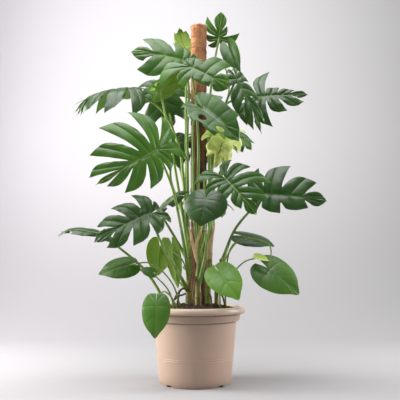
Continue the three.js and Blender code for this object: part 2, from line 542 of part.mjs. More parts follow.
// The soil's surface rises to the plant in the middle and is lumpy.
function soil(holes) {
  const bottom = TUB_WALL + 2 + GAP;
  const profile = [
    [0, bottom],
    [wallRadius(bottom) - GAP, bottom],
    [wallRadius(COLLAR_BOTTOM) - GAP, COLLAR_BOTTOM],
    [wallRadius(SOIL_EDGE) - GAP, SOIL_EDGE],
  ];
  for (let i = SOIL_RINGS - 1; i >= 0; i--) {
    profile.push([((wallRadius(SOIL_EDGE) - 8) * i) / SOIL_RINGS, SOIL_EDGE + 1]);
  }
  const geometry = lathe(profile, SOIL_FACETS);
  const position = geometry.attributes.position;
  for (let i = 0; i < position.count; i++) {
    const [x, y, z] = [position.getX(i), position.getY(i), position.getZ(i)];
    if (z <= SOIL_EDGE + 0.5) continue;
    const share = Math.hypot(x, y) / wallRadius(SOIL_EDGE);
    const lump = SOIL_LUMP * Math.sin(x / SOIL_LUMP_SPREAD + 1) * Math.cos(y / SOIL_LUMP_SPREAD);
    position.setZ(i, SOIL_EDGE + SOIL_CROWN * (1 - share * share) + lump * share);
  }
  return holes.reduce((solid, hole) => solid.subtract(hole), solidOf(geometry));
}

function poleCore(grow = 0) {
  const radius = CORE_RADIUS + grow;
  const top = POLE_TOP - POLE_CAP;
  const profile = [[0, CORE_FOOT - grow], [radius, CORE_FOOT - grow], [radius, top + grow], [0, top + grow]];
  return solidOf(lathe(profile, 12).translate(POLE_X, POLE_Y, 0));
}

function coirSleeve(grow = 0) {
  const radius = POLE_RADIUS + grow;
  const foot = POLE_FOOT - grow;
  const profile = [[0, foot], [radius, foot], [radius, POLE_TOP - 6], [radius - 6, POLE_TOP], [0, POLE_TOP]];
  return solidOf(lathe(profile, 16).translate(POLE_X, POLE_Y, 0));
}

function stemLine(name) {
  const points = STEMS[name].line.map((p) => new THREE.Vector3(...p));
  return new THREE.CatmullRomCurve3(points, false, "centripetal");
}

// The point on a stem's centre line at a height.
function stemPoint(name, height) {
  const curve = stemLine(name);
  let [low, high] = [0, 1];
  for (let i = 0; i < 30; i++) {
    const middle = (low + high) / 2;
    if (curve.getPointAt(middle).z < height) low = middle;
    else high = middle;
  }
  return curve.getPointAt(low).toArray();
}

function stem(name, grow = 0) {
  const { line, radii, roots, sheaths } = STEMS[name];
  const steps = 2 * (line.length - 1);
  let solid = solidOf(tube(line, radii.map((r) => r + grow), STEM_SIDES, steps));
  for (const root of roots) solid = solid.add(solidOf(tube(root, ROOT_RADII.map((r) => r + grow), 5, 5)));
  for (const sheath of sheaths) {
    solid = solid.add(solidOf(tube(sheath, SHEATH_RADII.map((r) => r + grow), 5, 4)));
  }
  return solid;
}

// A petiole swells at its foot and thins towards the blade, whose underside it runs into.
function petiole(leaf, grow = 0) {
  const { place } = bladeSurface(leaf);
  const end = place(JUNCTION_OFFSET, 0, 0).toArray();
  const foot = leaf.root ? ROOT_LEVELS.map((z) => [...leaf.root, z]) : [stemPoint(leaf.stem, leaf.node)];
  const points = [...foot, ...leaf.route, end];
  const radii = leaf.slit > 0 ? PETIOLE_RADII : THIN_PETIOLE_RADII;
  return solidOf(tube(points, radii.map((r) => r + grow), PETIOLE_SIDES, 2 * points.length - 2));
}

function leafSolid(leaf) {
  const solid = petiole(leaf).add(solidOf(bladeGeometry(leaf)));
  return leaf.stem ? solid.subtract(stem(leaf.stem, GAP)) : solid;
}

// ---- The plant -----------------------------------------------------------------------------------------

const plant = new THREE.Group();
plant.name = "potted_monstera";

function addPiece(group, name, solid, material) {
  const mesh = new THREE.Mesh(geometryOf(solid), MATERIALS[material]);
  mesh.name = name;
  group.add(mesh);
}

const container = new THREE.Group();
const support = new THREE.Group();
const growth = new THREE.Group();
plant.add(container, support, growth);

const rooted = LEAVES.filter((leaf) => leaf.root);
const holes = [
  ...Object.keys(STEMS).map((name) => stem(name, GAP)),
  ...rooted.map((leaf) => petiole(leaf, GAP)),
  poleCore(GAP),
  coirSleeve(GAP),
];
addPiece(container, "tub", tub(), "tub");
addPiece(container, "soil", soil(holes), "soil");
addPiece(support, "pole_core", poleCore(), "timber");
addPiece(support, "coir_sleeve", coirSleeve().subtract(poleCore(GAP)), "coir");
for (const name of Object.keys(STEMS)) addPiece(growth, "stem_" + name, stem(name), "stem");
for (const leaf of LEAVES) addPiece(growth, leaf.name, leafSolid(leaf), leaf.tone);

export default plant;
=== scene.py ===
import math

import bpy
import numpy as np
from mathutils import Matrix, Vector, noise


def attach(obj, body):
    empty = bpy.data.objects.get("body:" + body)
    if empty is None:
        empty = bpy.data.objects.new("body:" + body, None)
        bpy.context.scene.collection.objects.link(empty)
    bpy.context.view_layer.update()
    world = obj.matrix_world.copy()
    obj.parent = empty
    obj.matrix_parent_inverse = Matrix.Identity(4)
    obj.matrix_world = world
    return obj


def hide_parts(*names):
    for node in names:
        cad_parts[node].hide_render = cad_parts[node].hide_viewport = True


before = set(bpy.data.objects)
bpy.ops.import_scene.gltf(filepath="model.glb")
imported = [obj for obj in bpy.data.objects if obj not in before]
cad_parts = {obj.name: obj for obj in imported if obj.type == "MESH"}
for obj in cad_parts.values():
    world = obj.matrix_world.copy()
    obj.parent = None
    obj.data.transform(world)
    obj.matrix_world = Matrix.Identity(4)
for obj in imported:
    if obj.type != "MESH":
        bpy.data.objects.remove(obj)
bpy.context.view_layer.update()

bl_info = {
    "name": "Potted monstera",
    "version": (1, 0, 0),
    "blender": (4, 5, 0),
    "location": "3D View > Sidebar > Monstera",
    "description": "Builds a climbing Swiss cheese plant on a coir pole in its nursery tub",
    "category": "Object",
}

MM = 0.001
DEGREE = math.pi / 180

# ---- Sizes, in millimetres, degrees and shares, that the solids have too --------------------------------

TUB_HEIGHT = 280
RIM_RADIUS = 190
RIM_BEAD = 13
COLLAR_RADIUS = 170
COLLAR_TOP = 255
COLLAR_BOTTOM = 227
BODY_RADIUS = 155
BASE_RADIUS = 134
BASE_ROUND = 12
TUB_WALL = 4
SLOT_COUNT = 4
SLOT_SIZE = (24, 30, 8)

SOIL_EDGE = 268
SOIL_CROWN = 22

POLE_X = 13
POLE_Y = 20
POLE_RADIUS = 31
POLE_TOP = 1395
POLE_FOOT = 236

# How far a vein bows, a hole opens, and a finger's end reaches or stands back, as shares; then the drip tip
# of an uncut leaf.
VEIN_BOW = 0.12
HOLE_WIDTH = 0.25
FINGER_POINT = 0.08
FINGER_NOTCH = 0.24
DRIP_TIP = 0.12
DRIP_TIP_ANGLE = 9

# A petiole's radii at its foot and at its blade; an uncut leaf has a thin one. The levels are heights inside
# the soil, where it goes straight up.
PETIOLE_RADII = (7, 4)
THIN_PETIOLE_RADII = (3.6, 2.4)
JUNCTION_OFFSET = 5
ROOT_LEVELS = (225, 250)

# How far the blade's outline lies from the petiole's junction, as a share of the midrib, at each angle
# from the tip.
OUTLINE = ((0, 1.0), (15, 0.93), (30, 0.84), (55, 0.7), (82, 0.61), (110, 0.55), (137, 0.49), (165, 0.37))

# The stems' centre lines with the radii at their feet and tips, and the lines of their aerial roots and
# dried sheaths.
STEMS = {
    "left": {
        "line": [
            [-26, -22, 180], [-26, -22, 330], [-21, -25, 440],
            [-27, -21, 520], [-33, -12, 640], [-34, 10, 920],
        ],
        "radii": [12, 7],
        "roots": [
            [[-28, -22, 330], [-62, -30, 318], [-84, -40, 296], [-92, -44, 262]],
            [[-28, -20, 350], [-55, -2, 340], [-66, 8, 300], [-68, 10, 262]],
            [[-27, -24, 345], [-52, -50, 345], [-74, -70, 313], [-92, -78, 262]],
        ],
        "sheaths": [],
    },
    "front": {
        "line": [
            [10, -50, 180], [10, -50, 330], [16, -50, 450],
            [30, -46, 560], [36, -42, 660], [40, -40, 780],
        ],
        "radii": [14, 7],
        "roots": [
            [[11, -50, 345], [20, -72, 325], [24, -86, 262]],
            [[11, -50, 400], [0, -64, 378], [-6, -72, 328], [2, -80, 262]],
        ],
        "sheaths": [
            [[14, -50, 424], [3, -62, 500], [14, -72, 540], [29, -74, 581]],
            [[13, -49, 430], [-10, -60, 515], [-17, -62, 552], [-27, -58, 578]],
        ],
    },
    "right": {
        "line": [
            [47, -34, 180], [48, -28, 330], [57, -10, 520],
            [58, 8, 720], [56, 18, 900], [55, 26, 1040],
        ],
        "radii": [13, 7],
        "roots": [[[48, -28, 335], [58, -50, 315], [58, -62, 262]]],
        "sheaths": [[[51, -20, 440], [57, -44, 515], [67, -52, 556], [74, -50, 594]]],
    },
    "leaning": {
        "line": [[76, -6, 180], [82, -8, 330], [92, -12, 400], [101, -14, 462]],
        "radii": [11, 6],
        "roots": [[[82, -8, 335], [104, -18, 315], [110, -24, 262]]],
        "sheaths": [],
    },
}

# What a leaf has unless its row says otherwise. "sinus" is the angle of the blade's last vein from the tip,
# "spread" how much the veins crowd towards the tip, and "span" the share of the midrib that bears them.
# "width" scales the blade sideways, and "fingers" counts its fingers on each side. "slit" is how deep the
# fingers are cut and "gap" how wide. "fold", "arch" and "curl" (degrees) are how far the blade is folded at
# the midrib, bowed across it and bent along it, and "droop" is how far its fingers hang. "pierced" lists the
# veins of one half that have a hole. "crumple" is how far the skin wanders, and "tone" names its colours.
COMMON_LEAF = {
    "sinus": 165, "spread": 1.7, "span": 0.58, "width": 1.0, "fingers": 4, "slit": 0, "gap": 0.14,
    "fold": 5, "arch": 30, "curl": 20, "droop": 0, "pierced": [], "crumple": 0, "tone": "green",
}

# One row for each leaf. Its petiole leaves the named stem at height "node" (or the soil at "root"), runs
# through "route" and meets the blade at "at". "tip" is the end of the midrib, and "face" the way the upper
# side looks. "reach" stretches the fingers one by one, and "hole" says from where to where on the way out
# the holes go. "seed" starts the leaf's random numbers, and "shade" makes it lighter or darker.
# The shades given in the rows are painted light and shade: they make each leaf as light or dark as the light
# falling on it.
LEAVES = [
    dict(name="top_right", stem="right", node=668, route=[[53, -14, 877], [57, -4, 1079], [78, 20, 1252]],
         at=[95, 30, 1344], tip=[103, 10, 1445], face=[-0.1, -0.95, 0.2], spread=1.3, span=0.2,
         reach=[[0.9, 0.9, 1.15, 1], [0.6, 1.2, 0.6, 1.0]], gap=0.12, slit=0.75, arch=20, curl=10,
         droop=0.05, seed=1, shade=0.7),
    dict(name="top_right_low", stem="right", node=930,
         route=[[134, 20, 1128], [115, 30, 1247], [107, 24, 1304]], at=[134, 14, 1300], tip=[173, 0, 1207],
         face=[-0.5, -0.8, 0.2], reach=[[0.5, 0.5, 0.8], [0.7, 1.0, 1.0]], width=0.62, fingers=3, fold=30,
         seed=33),
    dict(name="top_left_bright", stem="left", node=890, route=[[-38, 48, 1050], [-38, 72, 1200]],
         at=[-40, 75, 1316], tip=[-69, 75, 1406], face=[-0.3, 0.9, 0.3], width=0.8, slit=0.15, fold=10,
         droop=0.1, tone="bright", seed=2),
    dict(name="top_left", stem="left", node=560, route=[[-29, -42, 732], [-30, -44, 949], [-25, -42, 1108]],
         at=[-33, -40, 1225], tip=[-243, -80, 1250], face=[-0.2, -0.9, 0.3], spread=1.6,
         reach=[[0.3, 0.45, 1.08, 1], [0.4, 0.6, 0.98, 1]], width=0.9, slit=0.75, arch=20, curl=15,
         droop=0.04, seed=3),
    dict(name="top_front", stem="front", node=500, route=[[11, -66, 690], [12, -62, 886], [1, -84, 1063]],
         at=[-20, -116, 1173], tip=[126, -130, 1091], face=[0.12, -0.95, 0.2], sinus=178, spread=1.35,
         reach=[[0.45, 0.5, 1.15, 1], [1.6, 0.8, 0.45, 1]], gap=0.1, slit=0.75, arch=20, curl=15,
         droop=0.04, seed=4),
    dict(name="upper_left_backlit", stem="left", node=452,
         route=[[-46, -32, 618], [-65, -44, 728], [-96, -56, 907]], at=[-139, -62, 1097],
         tip=[-24, -62, 1169], face=[0.15, 0.93, 0.3], reach=[[0.3, 0.6, 0.9, 1], [0.3, 0.6, 0.9, 1]],
         width=0.6, slit=0.2, fold=10, curl=15, droop=0.1, tone="bright", seed=5),
    dict(name="upper_far_left", stem="left", node=640,
         route=[[-47, -26, 773], [-59, -20, 868], [-128, 12, 1035]], at=[-247, 0, 1129],
         tip=[-473, -60, 1039], face=[-0.3, -0.45, 0.85], reach=[[1, 1, 1, 1, 1], [0.5, 0.8, 1, 1, 1]],
         width=0.8, fingers=5, slit=0.88, arch=40, curl=30, droop=0.15, tone="dark", seed=6),
    dict(name="upper_back_left", stem="left", node=720, route=[[-72, 50, 860], [-100, 85, 1020]],
         at=[-139, 100, 1162], tip=[-105, 92, 995], face=[0, -0.9, 0.3], width=1.2, slit=0.45, droop=0.1,
         tone="dark", seed=7),
    dict(name="hero_left", stem="left", node=390, route=[[-56, -88, 591], [-84, -124, 716]],
         at=[-135, -150, 852], tip=[-342, -215, 713], face=[-0.05, -0.95, -0.15], sinus=180, spread=2.0,
         reach=[[0.9, 0.55, 0.72, 0.8, 0.8, 0.95], [1.0, 1.05, 1.12, 1.05, 1.1, 1]], fingers=6, slit=0.8,
         arch=15, curl=15, droop=0.04, seed=8, shade=0.9),
    dict(name="centre_front", stem="front", node=440,
         route=[[-6, -70, 656], [-8, -74, 864], [-4, -106, 972]], at=[29, -150, 1001], tip=[157, -190, 880],
         face=[0, -0.85, 0.4], spread=1.2, reach=[[1, 1, 1, 1], [1, 1, 1, 1]], pierced=[2, 3],
         hole=[0.3, 0.72], width=0.72, slit=0.15, fold=22, arch=10, curl=15, droop=0.04, seed=9,
         shade=-0.5),
    dict(name="upper_right", stem="right", node=800, route=[[88, 0, 920], [112, -25, 1040]],
         at=[158, -40, 1161], tip=[254, -60, 941], face=[0.3, -0.9, 0.2],
         reach=[[0.4, 0.6, 0.8, 0.9, 1], [0.4, 0.8, 1, 1, 1]], width=0.5, fingers=5, slit=0.8, arch=20,
         curl=15, droop=0.04, tone="dark", seed=10),
    dict(name="upper_far_right", stem="right", node=880, route=[[85, 42, 980], [130, 74, 1090]],
         at=[261, 60, 1111], tip=[448, 40, 1118], face=[0.1, -0.9, 0.3],
         reach=[[1.0, 1.25, 0.35, 0.5, 1], [1.4, 1.2, 0.8, 0.95, 1]], width=0.9, fingers=5, slit=0.8,
         arch=20, curl=10, droop=0.04, tone="dark", seed=11),
    dict(name="young", stem="right", node=640, route=[[95, -20, 740], [108, -40, 850]], at=[113, -60, 929],
         tip=[74, -100, 802], face=[0.1, -0.95, 0.2], width=0.9, slit=0.4, fold=20, arch=20, droop=0.1,
         crumple=14, tone="young", seed=12, shade=1.0),
    dict(name="middle_right_small", stem="right", node=700, route=[[100, 15, 800], [130, 5, 880]],
         at=[146, -20, 939], tip=[216, -50, 877], face=[0.1, -0.75, 0.6], slit=0.3, arch=40, droop=0.1,
         seed=13),
    dict(name="centre_right", stem="front", node=350,
         route=[[33, -72, 444], [47, -92, 542], [69, -118, 632]], at=[108, -160, 743], tip=[214, -200, 613],
         face=[0, -0.9, 0.3], spread=1.5, reach=[[0.9, 0.97, 1.28, 1.13, 1], [1.25, 0.85, 0.62, 0.62, 1]],
         fingers=5, slit=0.75, arch=20, curl=15, droop=0.04, seed=14, shade=-0.5),
    dict(name="middle_far_right", stem="leaning", node=430, route=[[150, 4, 565], [210, -30, 640]],
         at=[269, -40, 701], tip=[491, -60, 676], face=[0.1, -0.9, 0.2],
         reach=[[0.9, 0.9, 0.86, 1], [0.65, 0.5, 0.55, 1]], slit=0.75, arch=15, curl=15, droop=0.04,
         tone="dark", seed=15),
    dict(name="front_round", stem="front", node=460, route=[[34, -110, 520], [58, -172, 580]],
         at=[39, -202, 666], tip=[21, -227, 576], face=[-0.1, -0.75, 0.6], width=1.4, arch=40, tone="dark",
         seed=16, shade=-0.5),
    dict(name="middle_left", stem="left", node=335,
         route=[[-55, -74, 393], [-87, -106, 451], [-129, -136, 529]], at=[-158, -110, 622],
         tip=[-355, -160, 521], face=[-0.1, -0.9, 0.35],
         reach=[[0.6, 0.6, 0.7, 0.9, 1], [0.3, 0.75, 0.75, 0.85, 1]], fingers=5, slit=0.75, arch=20,
         curl=15, droop=0.04, tone="dark", seed=17, shade=0.7),
    dict(name="left_edge_on", stem="left", node=440, route=[[-84, -20, 548]], at=[-140, -60, 632],
         tip=[-30, -95, 717], face=[0, -0.5, 0.85], reach=[[0.6, 0.7, 0.85, 1], [0.4, 0.6, 0.9, 1]],
         width=0.6, slit=0.6, droop=0.1, tone="dark", seed=18),
    dict(name="low_left_back", stem="left", node=330, route=[[-100, 10, 420]], at=[-136, 10, 503],
         tip=[-141, -10, 405], face=[0, 0.95, 0.3], width=0.85, tone="bright", seed=19, shade=1.0),
    dict(name="low_left_hanging", stem="left", node=365, route=[[-38, -52, 430], [-56, -60, 463]],
         at=[-85, -50, 489], tip=[-66, -44, 363], face=[0.2, 0.95, -0.1], width=0.38, fingers=3, fold=10,
         arch=20, curl=10, seed=34),
    dict(name="far_left_thin", root=[-96, -20], route=[[-180, 0, 400], [-290, -20, 500]],
         at=[-355, -60, 548], tip=[-501, -90, 554], face=[0.1, -0.3, 0.95], width=0.6, fingers=3, slit=0.6,
         fold=20, arch=40, curl=30, droop=0.1, tone="dark", seed=27),
    dict(name="left_behind", stem="left", node=600, route=[[-76, 4, 700], [-98, 10, 780]],
         at=[-81, 18, 920], tip=[-56, 14, 811], face=[0, -0.9, 0.4], width=1.05, slit=0.3, arch=40,
         droop=0.1, tone="dark", seed=28),
    dict(name="back_upper", stem="right", node=760, route=[[70, 62, 860], [62, 110, 930]],
         at=[52, 160, 980], tip=[80, 350, 900], face=[0.1, 0.4, 0.9], slit=0.85, arch=40, curl=30,
         droop=0.1, tone="dark", seed=29),
    dict(name="back_lower", stem="right", node=560, route=[[74, 50, 640], [56, 110, 690]],
         at=[30, 170, 725], tip=[50, 360, 650], face=[0, 0.4, 0.9], slit=0.85, arch=40, curl=30, droop=0.1,
         tone="dark", seed=30),
    dict(name="back_top", stem="right", node=840, route=[[50, 66, 900], [40, 70, 1010], [26, 120, 1085]],
         at=[20, 176, 1130], tip=[0, 330, 1120], face=[-0.1, 0.4, 0.9], fingers=3, slit=0.8, arch=40,
         curl=30, droop=0.1, seed=31),
    dict(name="back_low", root=[24, 96], route=[[26, 150, 380]], at=[16, 190, 440], tip=[0, 300, 400],
         face=[0, 0.4, 0.9], width=0.95, seed=32),
    dict(name="low_far_left", root=[-50, -72], route=[[-84, -92, 368], [-166, -80, 440]],
         at=[-244, -70, 433], tip=[-338, -100, 404], face=[-0.1, -0.8, 0.5], width=0.8, seed=20, shade=0.8),
    dict(name="low_left_small", root=[-72, -78], route=[[-96, -92, 340]], at=[-153, -100, 406],
         tip=[-195, -108, 415], face=[-0.1, -0.8, 0.5], width=0.8, seed=21),
    dict(name="over_rim", root=[-56, -98], route=[[-84, -140, 320], [-112, -190, 340]],
         at=[-132, -215, 300], tip=[-133, -235, 199], face=[-0.1, -0.98, 0.15], sinus=178, width=0.8,
         seed=22, shade=1.0),
    dict(name="low_right_round", root=[92, -62], route=[[90, -100, 350]], at=[88, -160, 404],
         tip=[145, -200, 323], face=[0.1, -0.9, 0.4], sinus=176, width=0.95, fold=12, tone="bright",
         seed=23, shade=-0.3),
    dict(name="low_far_right", root=[112, -30], route=[[135, -92, 502], [201, -95, 528], [274, -92, 502]],
         at=[267, -70, 422], tip=[364, -100, 338], face=[0.1, -0.85, 0.5], width=0.95, seed=24, shade=0.6),
    dict(name="low_right_folded", stem="leaning", node=390, route=[[115, -50, 459], [152, -52, 515]],
         at=[179, -45, 542], tip=[282, -62, 507], face=[0.1, -0.5, 0.85], width=0.9, fold=10, arch=40,
         tone="dark", seed=25),
    dict(name="low_right_rolled", stem="leaning", node=350, route=[[116, -12, 377], [182, -50, 444]],
         at=[226, -100, 462], tip=[264, -112, 449], face=[0.2, -0.8, 0.5], width=0.6, fold=20, arch=0,
         curl=10, tone="young", seed=26),
]

# ---- Sizes of what only the finished pieces have, and how finely they are divided -----------------------

BODY_LINES = (91, 98)
TUB_FLOOR = 6
TUB_SIDES = 192
SLOT_SINK = 1

SOIL_FOOT = 7
SOIL_PLAY = 0.5
SOIL_DIP = 2
SOIL_SIDES = 128
SOIL_RINGS = 40

SLEEVE_CAP = 5
SLEEVE_SIDES = 96
SLEEVE_STEP = 4.0

# The thread's centre stands off the sleeve and stops short of its ends. The sleeve is pinched in once for
# each turn of the thread: how deep, and over which share of the pitch.
THREAD_STAND = 0.4
THREAD_END = 10
PINCH_DEPTH = 0.8
PINCH_WIDTH = 0.06

# Height, size and seed of each layer of lumps.
SOIL_LUMPS = ((3.2, 22, 0.0), (2.2, 9, 3.0), (1.0, 4, 7.0))
SLEEVE_LUMPS = ((1.3, 26, 0.0), (0.9, 8, 2.0), (0.6, 3.5, 5.0))

STEM_STEPS = 220
STEM_SEARCH_STEPS = 400
STEM_SIDES = 16
RING_WIDTH = 2.2
NODE_WIDTH = 9.0
SHEATH_WIDTH = 8.5
SHEATH_FLATNESS = 0.28
SHEATH_STEPS = 26
SHEATH_SIDES = 12
ROOT_STEPS = 12

PETIOLE_STEPS = 70
PETIOLE_SIDES = 12
MIDRIB_STEPS = 30
MIDRIB_SIDES = 8

# The slit and the length from which a blade swells and is grooved in full.
FULL_SLIT = 0.7
FULL_LENGTH = 200

# The distance from the midrib that is given to what lies behind its start.
OFF_RIB = 99

# Depth and width of the grooves along the veins, and height and full wave (radians) of a finger's ripples.
VEIN_GROOVE = (0.7, 1.6)
RIB_GROOVE = (0.9, 2.4)
RIPPLE = 0.012
WAVE = 6.28

CRUMPLE_SIZE = 30

# Where the points of a finger lie between its two edges. Its own vein runs along the middle column.
COLUMNS = (0, 0.03, 0.09, 0.17, 0.26, 0.35, 0.42, 0.47, 0.5, 0.53, 0.58, 0.65, 0.74, 0.83, 0.91, 0.97, 1)
MIDDLE_COLUMN = 8


# ---- Node graphs ----------------------------------------------------------------------------------------


class Wire:
    """An output socket of a node graph. Arithmetic on it adds Math nodes."""

    def __init__(self, graph, socket):
        self.graph = graph
        self.socket = socket

    def math(self, operation, first, second):
        return self.graph.node("ShaderNodeMath", {"operation": operation}, {0: first, 1: second})

    def __add__(self, other):
        return self.math("ADD", self, other)

    def __sub__(self, other):
        return self.math("SUBTRACT", self, other)

    def __rsub__(self, other):
        return self.math("SUBTRACT", other, self)

    def __mul__(self, other):
        return self.math("MULTIPLY", self, other)

    __radd__ = __add__
    __rmul__ = __mul__

    def most(self, other):
        return self.math("MAXIMUM", self, other)

    def rise(self, low, high):
        """0 below low, 1 above high, and a smooth step between."""
        return self.graph.node(
            "ShaderNodeMapRange",
            {"interpolation_type": "SMOOTHSTEP"},
            {"Value": self, "From Min": low, "From Max": high},
        )

    def band(self, foot, full, fade, top):
        """1 from full to fade, and smooth steps down to 0 at foot and top."""
        return self.rise(foot, full) * (1 - self.rise(fade, top))

    def other(self, name):
        """Another output of the same node."""
        return Wire(self.graph, self.socket.node.outputs[name])


class Graph:
    """A node tree that is being built."""

    def __init__(self, tree):
        self.tree = tree

    def node(self, kind, settings=None, values=None, output=0):
        made = self.tree.nodes.new(kind)
        for name, value in (settings or {}).items():
            if name == "stops":
                set_stops(made.color_ramp, value)
            else:
                setattr(made, name, value)
        for key, value in (values or {}).items():
            self.feed(made.inputs[key], value)
        return Wire(self, made.outputs[output])

    def feed(self, socket, value):
        if isinstance(value, Wire):
            self.tree.links.new(value.socket, socket)
        else:
            socket.default_value = value

    def place(self, stretch=(1, 1, 1)):
        """Object coordinates in metres, stretched along each axis."""
        where = self.node("ShaderNodeTexCoord").other("Object")
        return self.node("ShaderNodeMapping", None, {"Vector": where, "Scale": stretch})

    def axis(self, index):
        """One object coordinate: 0 is sideways, 2 is the height."""
        return self.node("ShaderNodeSeparateXYZ", None, {0: self.place()}, index)

    def noise(self, scale, detail=3.0, stretch=(1, 1, 1), roughness=0.5, distortion=0.0):
        values = {"Vector": self.place(stretch), "Scale": scale, "Detail": detail}
        values.update({"Roughness": roughness, "Distortion": distortion})
        return self.node("ShaderNodeTexNoise", None, values)

    def attribute(self, name):
        return self.node("ShaderNodeAttribute", {"attribute_name": name}, None, "Fac")

    def mix(self, factor, first, second):
        """A colour part of the way from the first to the second."""
        settings = {"data_type": "RGBA", "clamp_factor": True}
        return self.node("ShaderNodeMix", settings, {0: factor, 6: first, 7: second}, 2)

    def ramp(self, factor, stops):
        return self.node("ShaderNodeValToRGB", {"stops": stops}, {"Fac": factor})

    def bump(self, height, strength, distance):
        values = {"Height": height, "Strength": strength, "Distance": distance}
        return self.node("ShaderNodeBump", None, values)


def set_stops(ramp, stops):
    while len(ramp.elements) < len(stops):
        ramp.elements.new(1.0)
    for element, (position, colour) in zip(ramp.elements, stops):
        element.position = position
        element.color = colour


def srgb(red, green, blue):
    """A colour in 0 to 255 steps as Blender's linear colour."""
    shares = [c / 255 for c in (red, green, blue)]
    return tuple(s / 12.92 if s <= 0.04045 else ((s + 0.055) / 1.055) ** 2.4 for s in shares) + (1.0,)


def new_material(name, build, viewport):
    """A material whose Principled shader gets what build(graph) returns."""
    made = bpy.data.materials.new(name)
    made.use_nodes = True
    made.diffuse_color = viewport
    shader = made.node_tree.nodes["Principled BSDF"]
    graph = Graph(made.node_tree)
    for socket, value in build(graph).items():
        graph.feed(shader.inputs[socket], value)
    return made


# ---- Finishes -------------------------------------------------------------------------------------------


def tub_plastic(colour):
    def build(graph):
        clouds = graph.noise(6, 3, (1, 1, 0.5))
        grain = graph.noise(900, 2)
        height = graph.axis(2)
        dusty = (1 - height.rise(0.0, 0.05)) * 0.35
        plain = graph.mix(clouds.rise(0.3, 0.7) * 0.12, colour, srgb(168, 142, 124))
        scuffs = graph.noise(70, 6, (1, 1, 0.25), 0.7).rise(0.62, 0.75) * 0.12
        base = graph.mix(dusty, graph.mix(scuffs, plain, srgb(226, 208, 192)), srgb(150, 128, 112))
        # Painted shadow: dark bands under the rim and under the collar, where their overhangs shade the side.
        rim_shadow_band = height.band(0.248, 0.254, 0.256, 0.26)
        collar_shadow_band = height.band(0.221, 0.226, 0.2275, 0.23)
        base = graph.mix((rim_shadow_band + collar_shadow_band) * 0.8, base, srgb(92, 72, 60))
        # Painted highlight: the rim's top is mixed towards a pale colour. The same band is also given a lower
        # roughness.
        rim = height.rise(0.262, 0.268)
        base = graph.mix(rim * 0.4, base, srgb(238, 220, 204))
        # Painted shade: the collar, which sits in the rim's shade, is mixed towards a darker colour.
        collar_shade_band = height.band(0.228, 0.232, 0.248, 0.252)
        base = graph.mix(collar_shade_band * 0.3, base, srgb(140, 116, 102))
        return {
            "Base Color": base,
            "Roughness": 0.34 + 0.12 * clouds + 0.1 * scuffs + rim * -0.1,
            "Normal": graph.bump(grain, 0.12, 0.0004),
        }

    return new_material("taupe_plastic", build, colour)


def potting_soil():
    def build(graph):
        coarse = graph.noise(60, 6, roughness=0.65)
        fine = graph.noise(420, 5)
        stops = ((0.3, srgb(15, 10, 7)), (0.5, srgb(38, 25, 17)), (0.68, srgb(68, 46, 32)))
        colour = graph.ramp(coarse * 0.6 + fine * 0.4, stops)
        return {
            "Base Color": colour,
            "Roughness": 0.85 + 0.15 * fine,
            "Normal": graph.bump(coarse * 0.7 + fine * 0.3, 0.9, 0.004),
        }

    return new_material("potting_soil", build, srgb(46, 33, 27))


def bark_crumb():
    def build(graph):
        patch = graph.noise(90, 3)
        grain = graph.noise(700, 4, (1, 1, 0.2))
        stops = ((0.32, srgb(24, 17, 13)), (0.5, srgb(58, 40, 29)), (0.62, srgb(104, 76, 54)))
        return {
            "Base Color": graph.ramp(patch * 0.7 + grain * 0.3, stops),
            "Roughness": 0.8 + 0.2 * grain,
            "Normal": graph.bump(grain, 0.6, 0.001),
        }

    return new_material("bark_crumb", build, srgb(70, 50, 38))


def coir(light, dark, name):
    """Coconut fibre, lighter at the pole's top and darker below."""

    def build(graph):
        strands = graph.noise(320, 6, (1, 1, 0.5), 0.7, 0.6)
        patches = graph.noise(38, 4)
        height = graph.axis(2)
        # Below this height the fibre is mixed towards a dark brown.
        lower_darkening = 1 - height.rise(1.02, 1.22)
        stops = ((0.3, srgb(92, 50, 28)), (0.46, dark), (0.62, light))
        fibre_tone = graph.ramp(strands * 0.75 + patches * 0.25, stops)
        return {
            "Base Color": graph.mix(lower_darkening * 0.8, fibre_tone, srgb(54, 34, 25)),
            "Roughness": 0.88 + 0.1 * strands,
            "Normal": graph.bump(strands, 0.9, 0.002),
        }

    return new_material(name, build, light)


def thread_material():
    def build(graph):
        twist = graph.noise(1500, 2)
        colour = graph.mix(twist.rise(0.3, 0.7), srgb(92, 58, 38), srgb(140, 96, 64))
        return {"Base Color": colour, "Roughness": 0.5 + 0.1 * twist}

    return new_material("tie_thread", build, srgb(120, 80, 54))


def grained(name, grain, low, high, roughness, relief, viewport):
    """A dull finish whose grain gives it its colours, from low to high, its roughness and its relief."""

    def build(graph):
        pattern = graph.noise(*grain)
        return {
            "Base Color": graph.ramp(pattern, (low, high)),
            "Roughness": roughness[0] + roughness[1] * pattern,
            "Normal": graph.bump(pattern, *relief),
        }

    return new_material(name, build, viewport)


def stake_wood():
    grain = (160, 5, (1, 1, 0.06), 0.6, 0.4)
    low, high = (0.3, srgb(148, 112, 74)), (0.6, srgb(190, 155, 110))
    return grained("stake_wood", grain, low, high, (0.72, 0.12), (0.4, 0.0015), srgb(176, 141, 98))


def root_skin():
    grain = (260, 5, (1, 1, 0.4), 0.65)
    low, high = (0.3, srgb(70, 50, 36)), (0.6, srgb(142, 112, 82))
    return grained("root_skin", grain, low, high, (0.78, 0.15), (0.6, 0.001), srgb(110, 84, 60))


def dry_sheath():
    grain = (220, 4, (1, 1, 0.08), 0.6)
    low, high = (0.3, srgb(190, 146, 96)), (0.62, srgb(244, 210, 166))
    return grained("dry_sheath", grain, low, high, (0.6, 0.2), (0.5, 0.001), srgb(205, 160, 110))


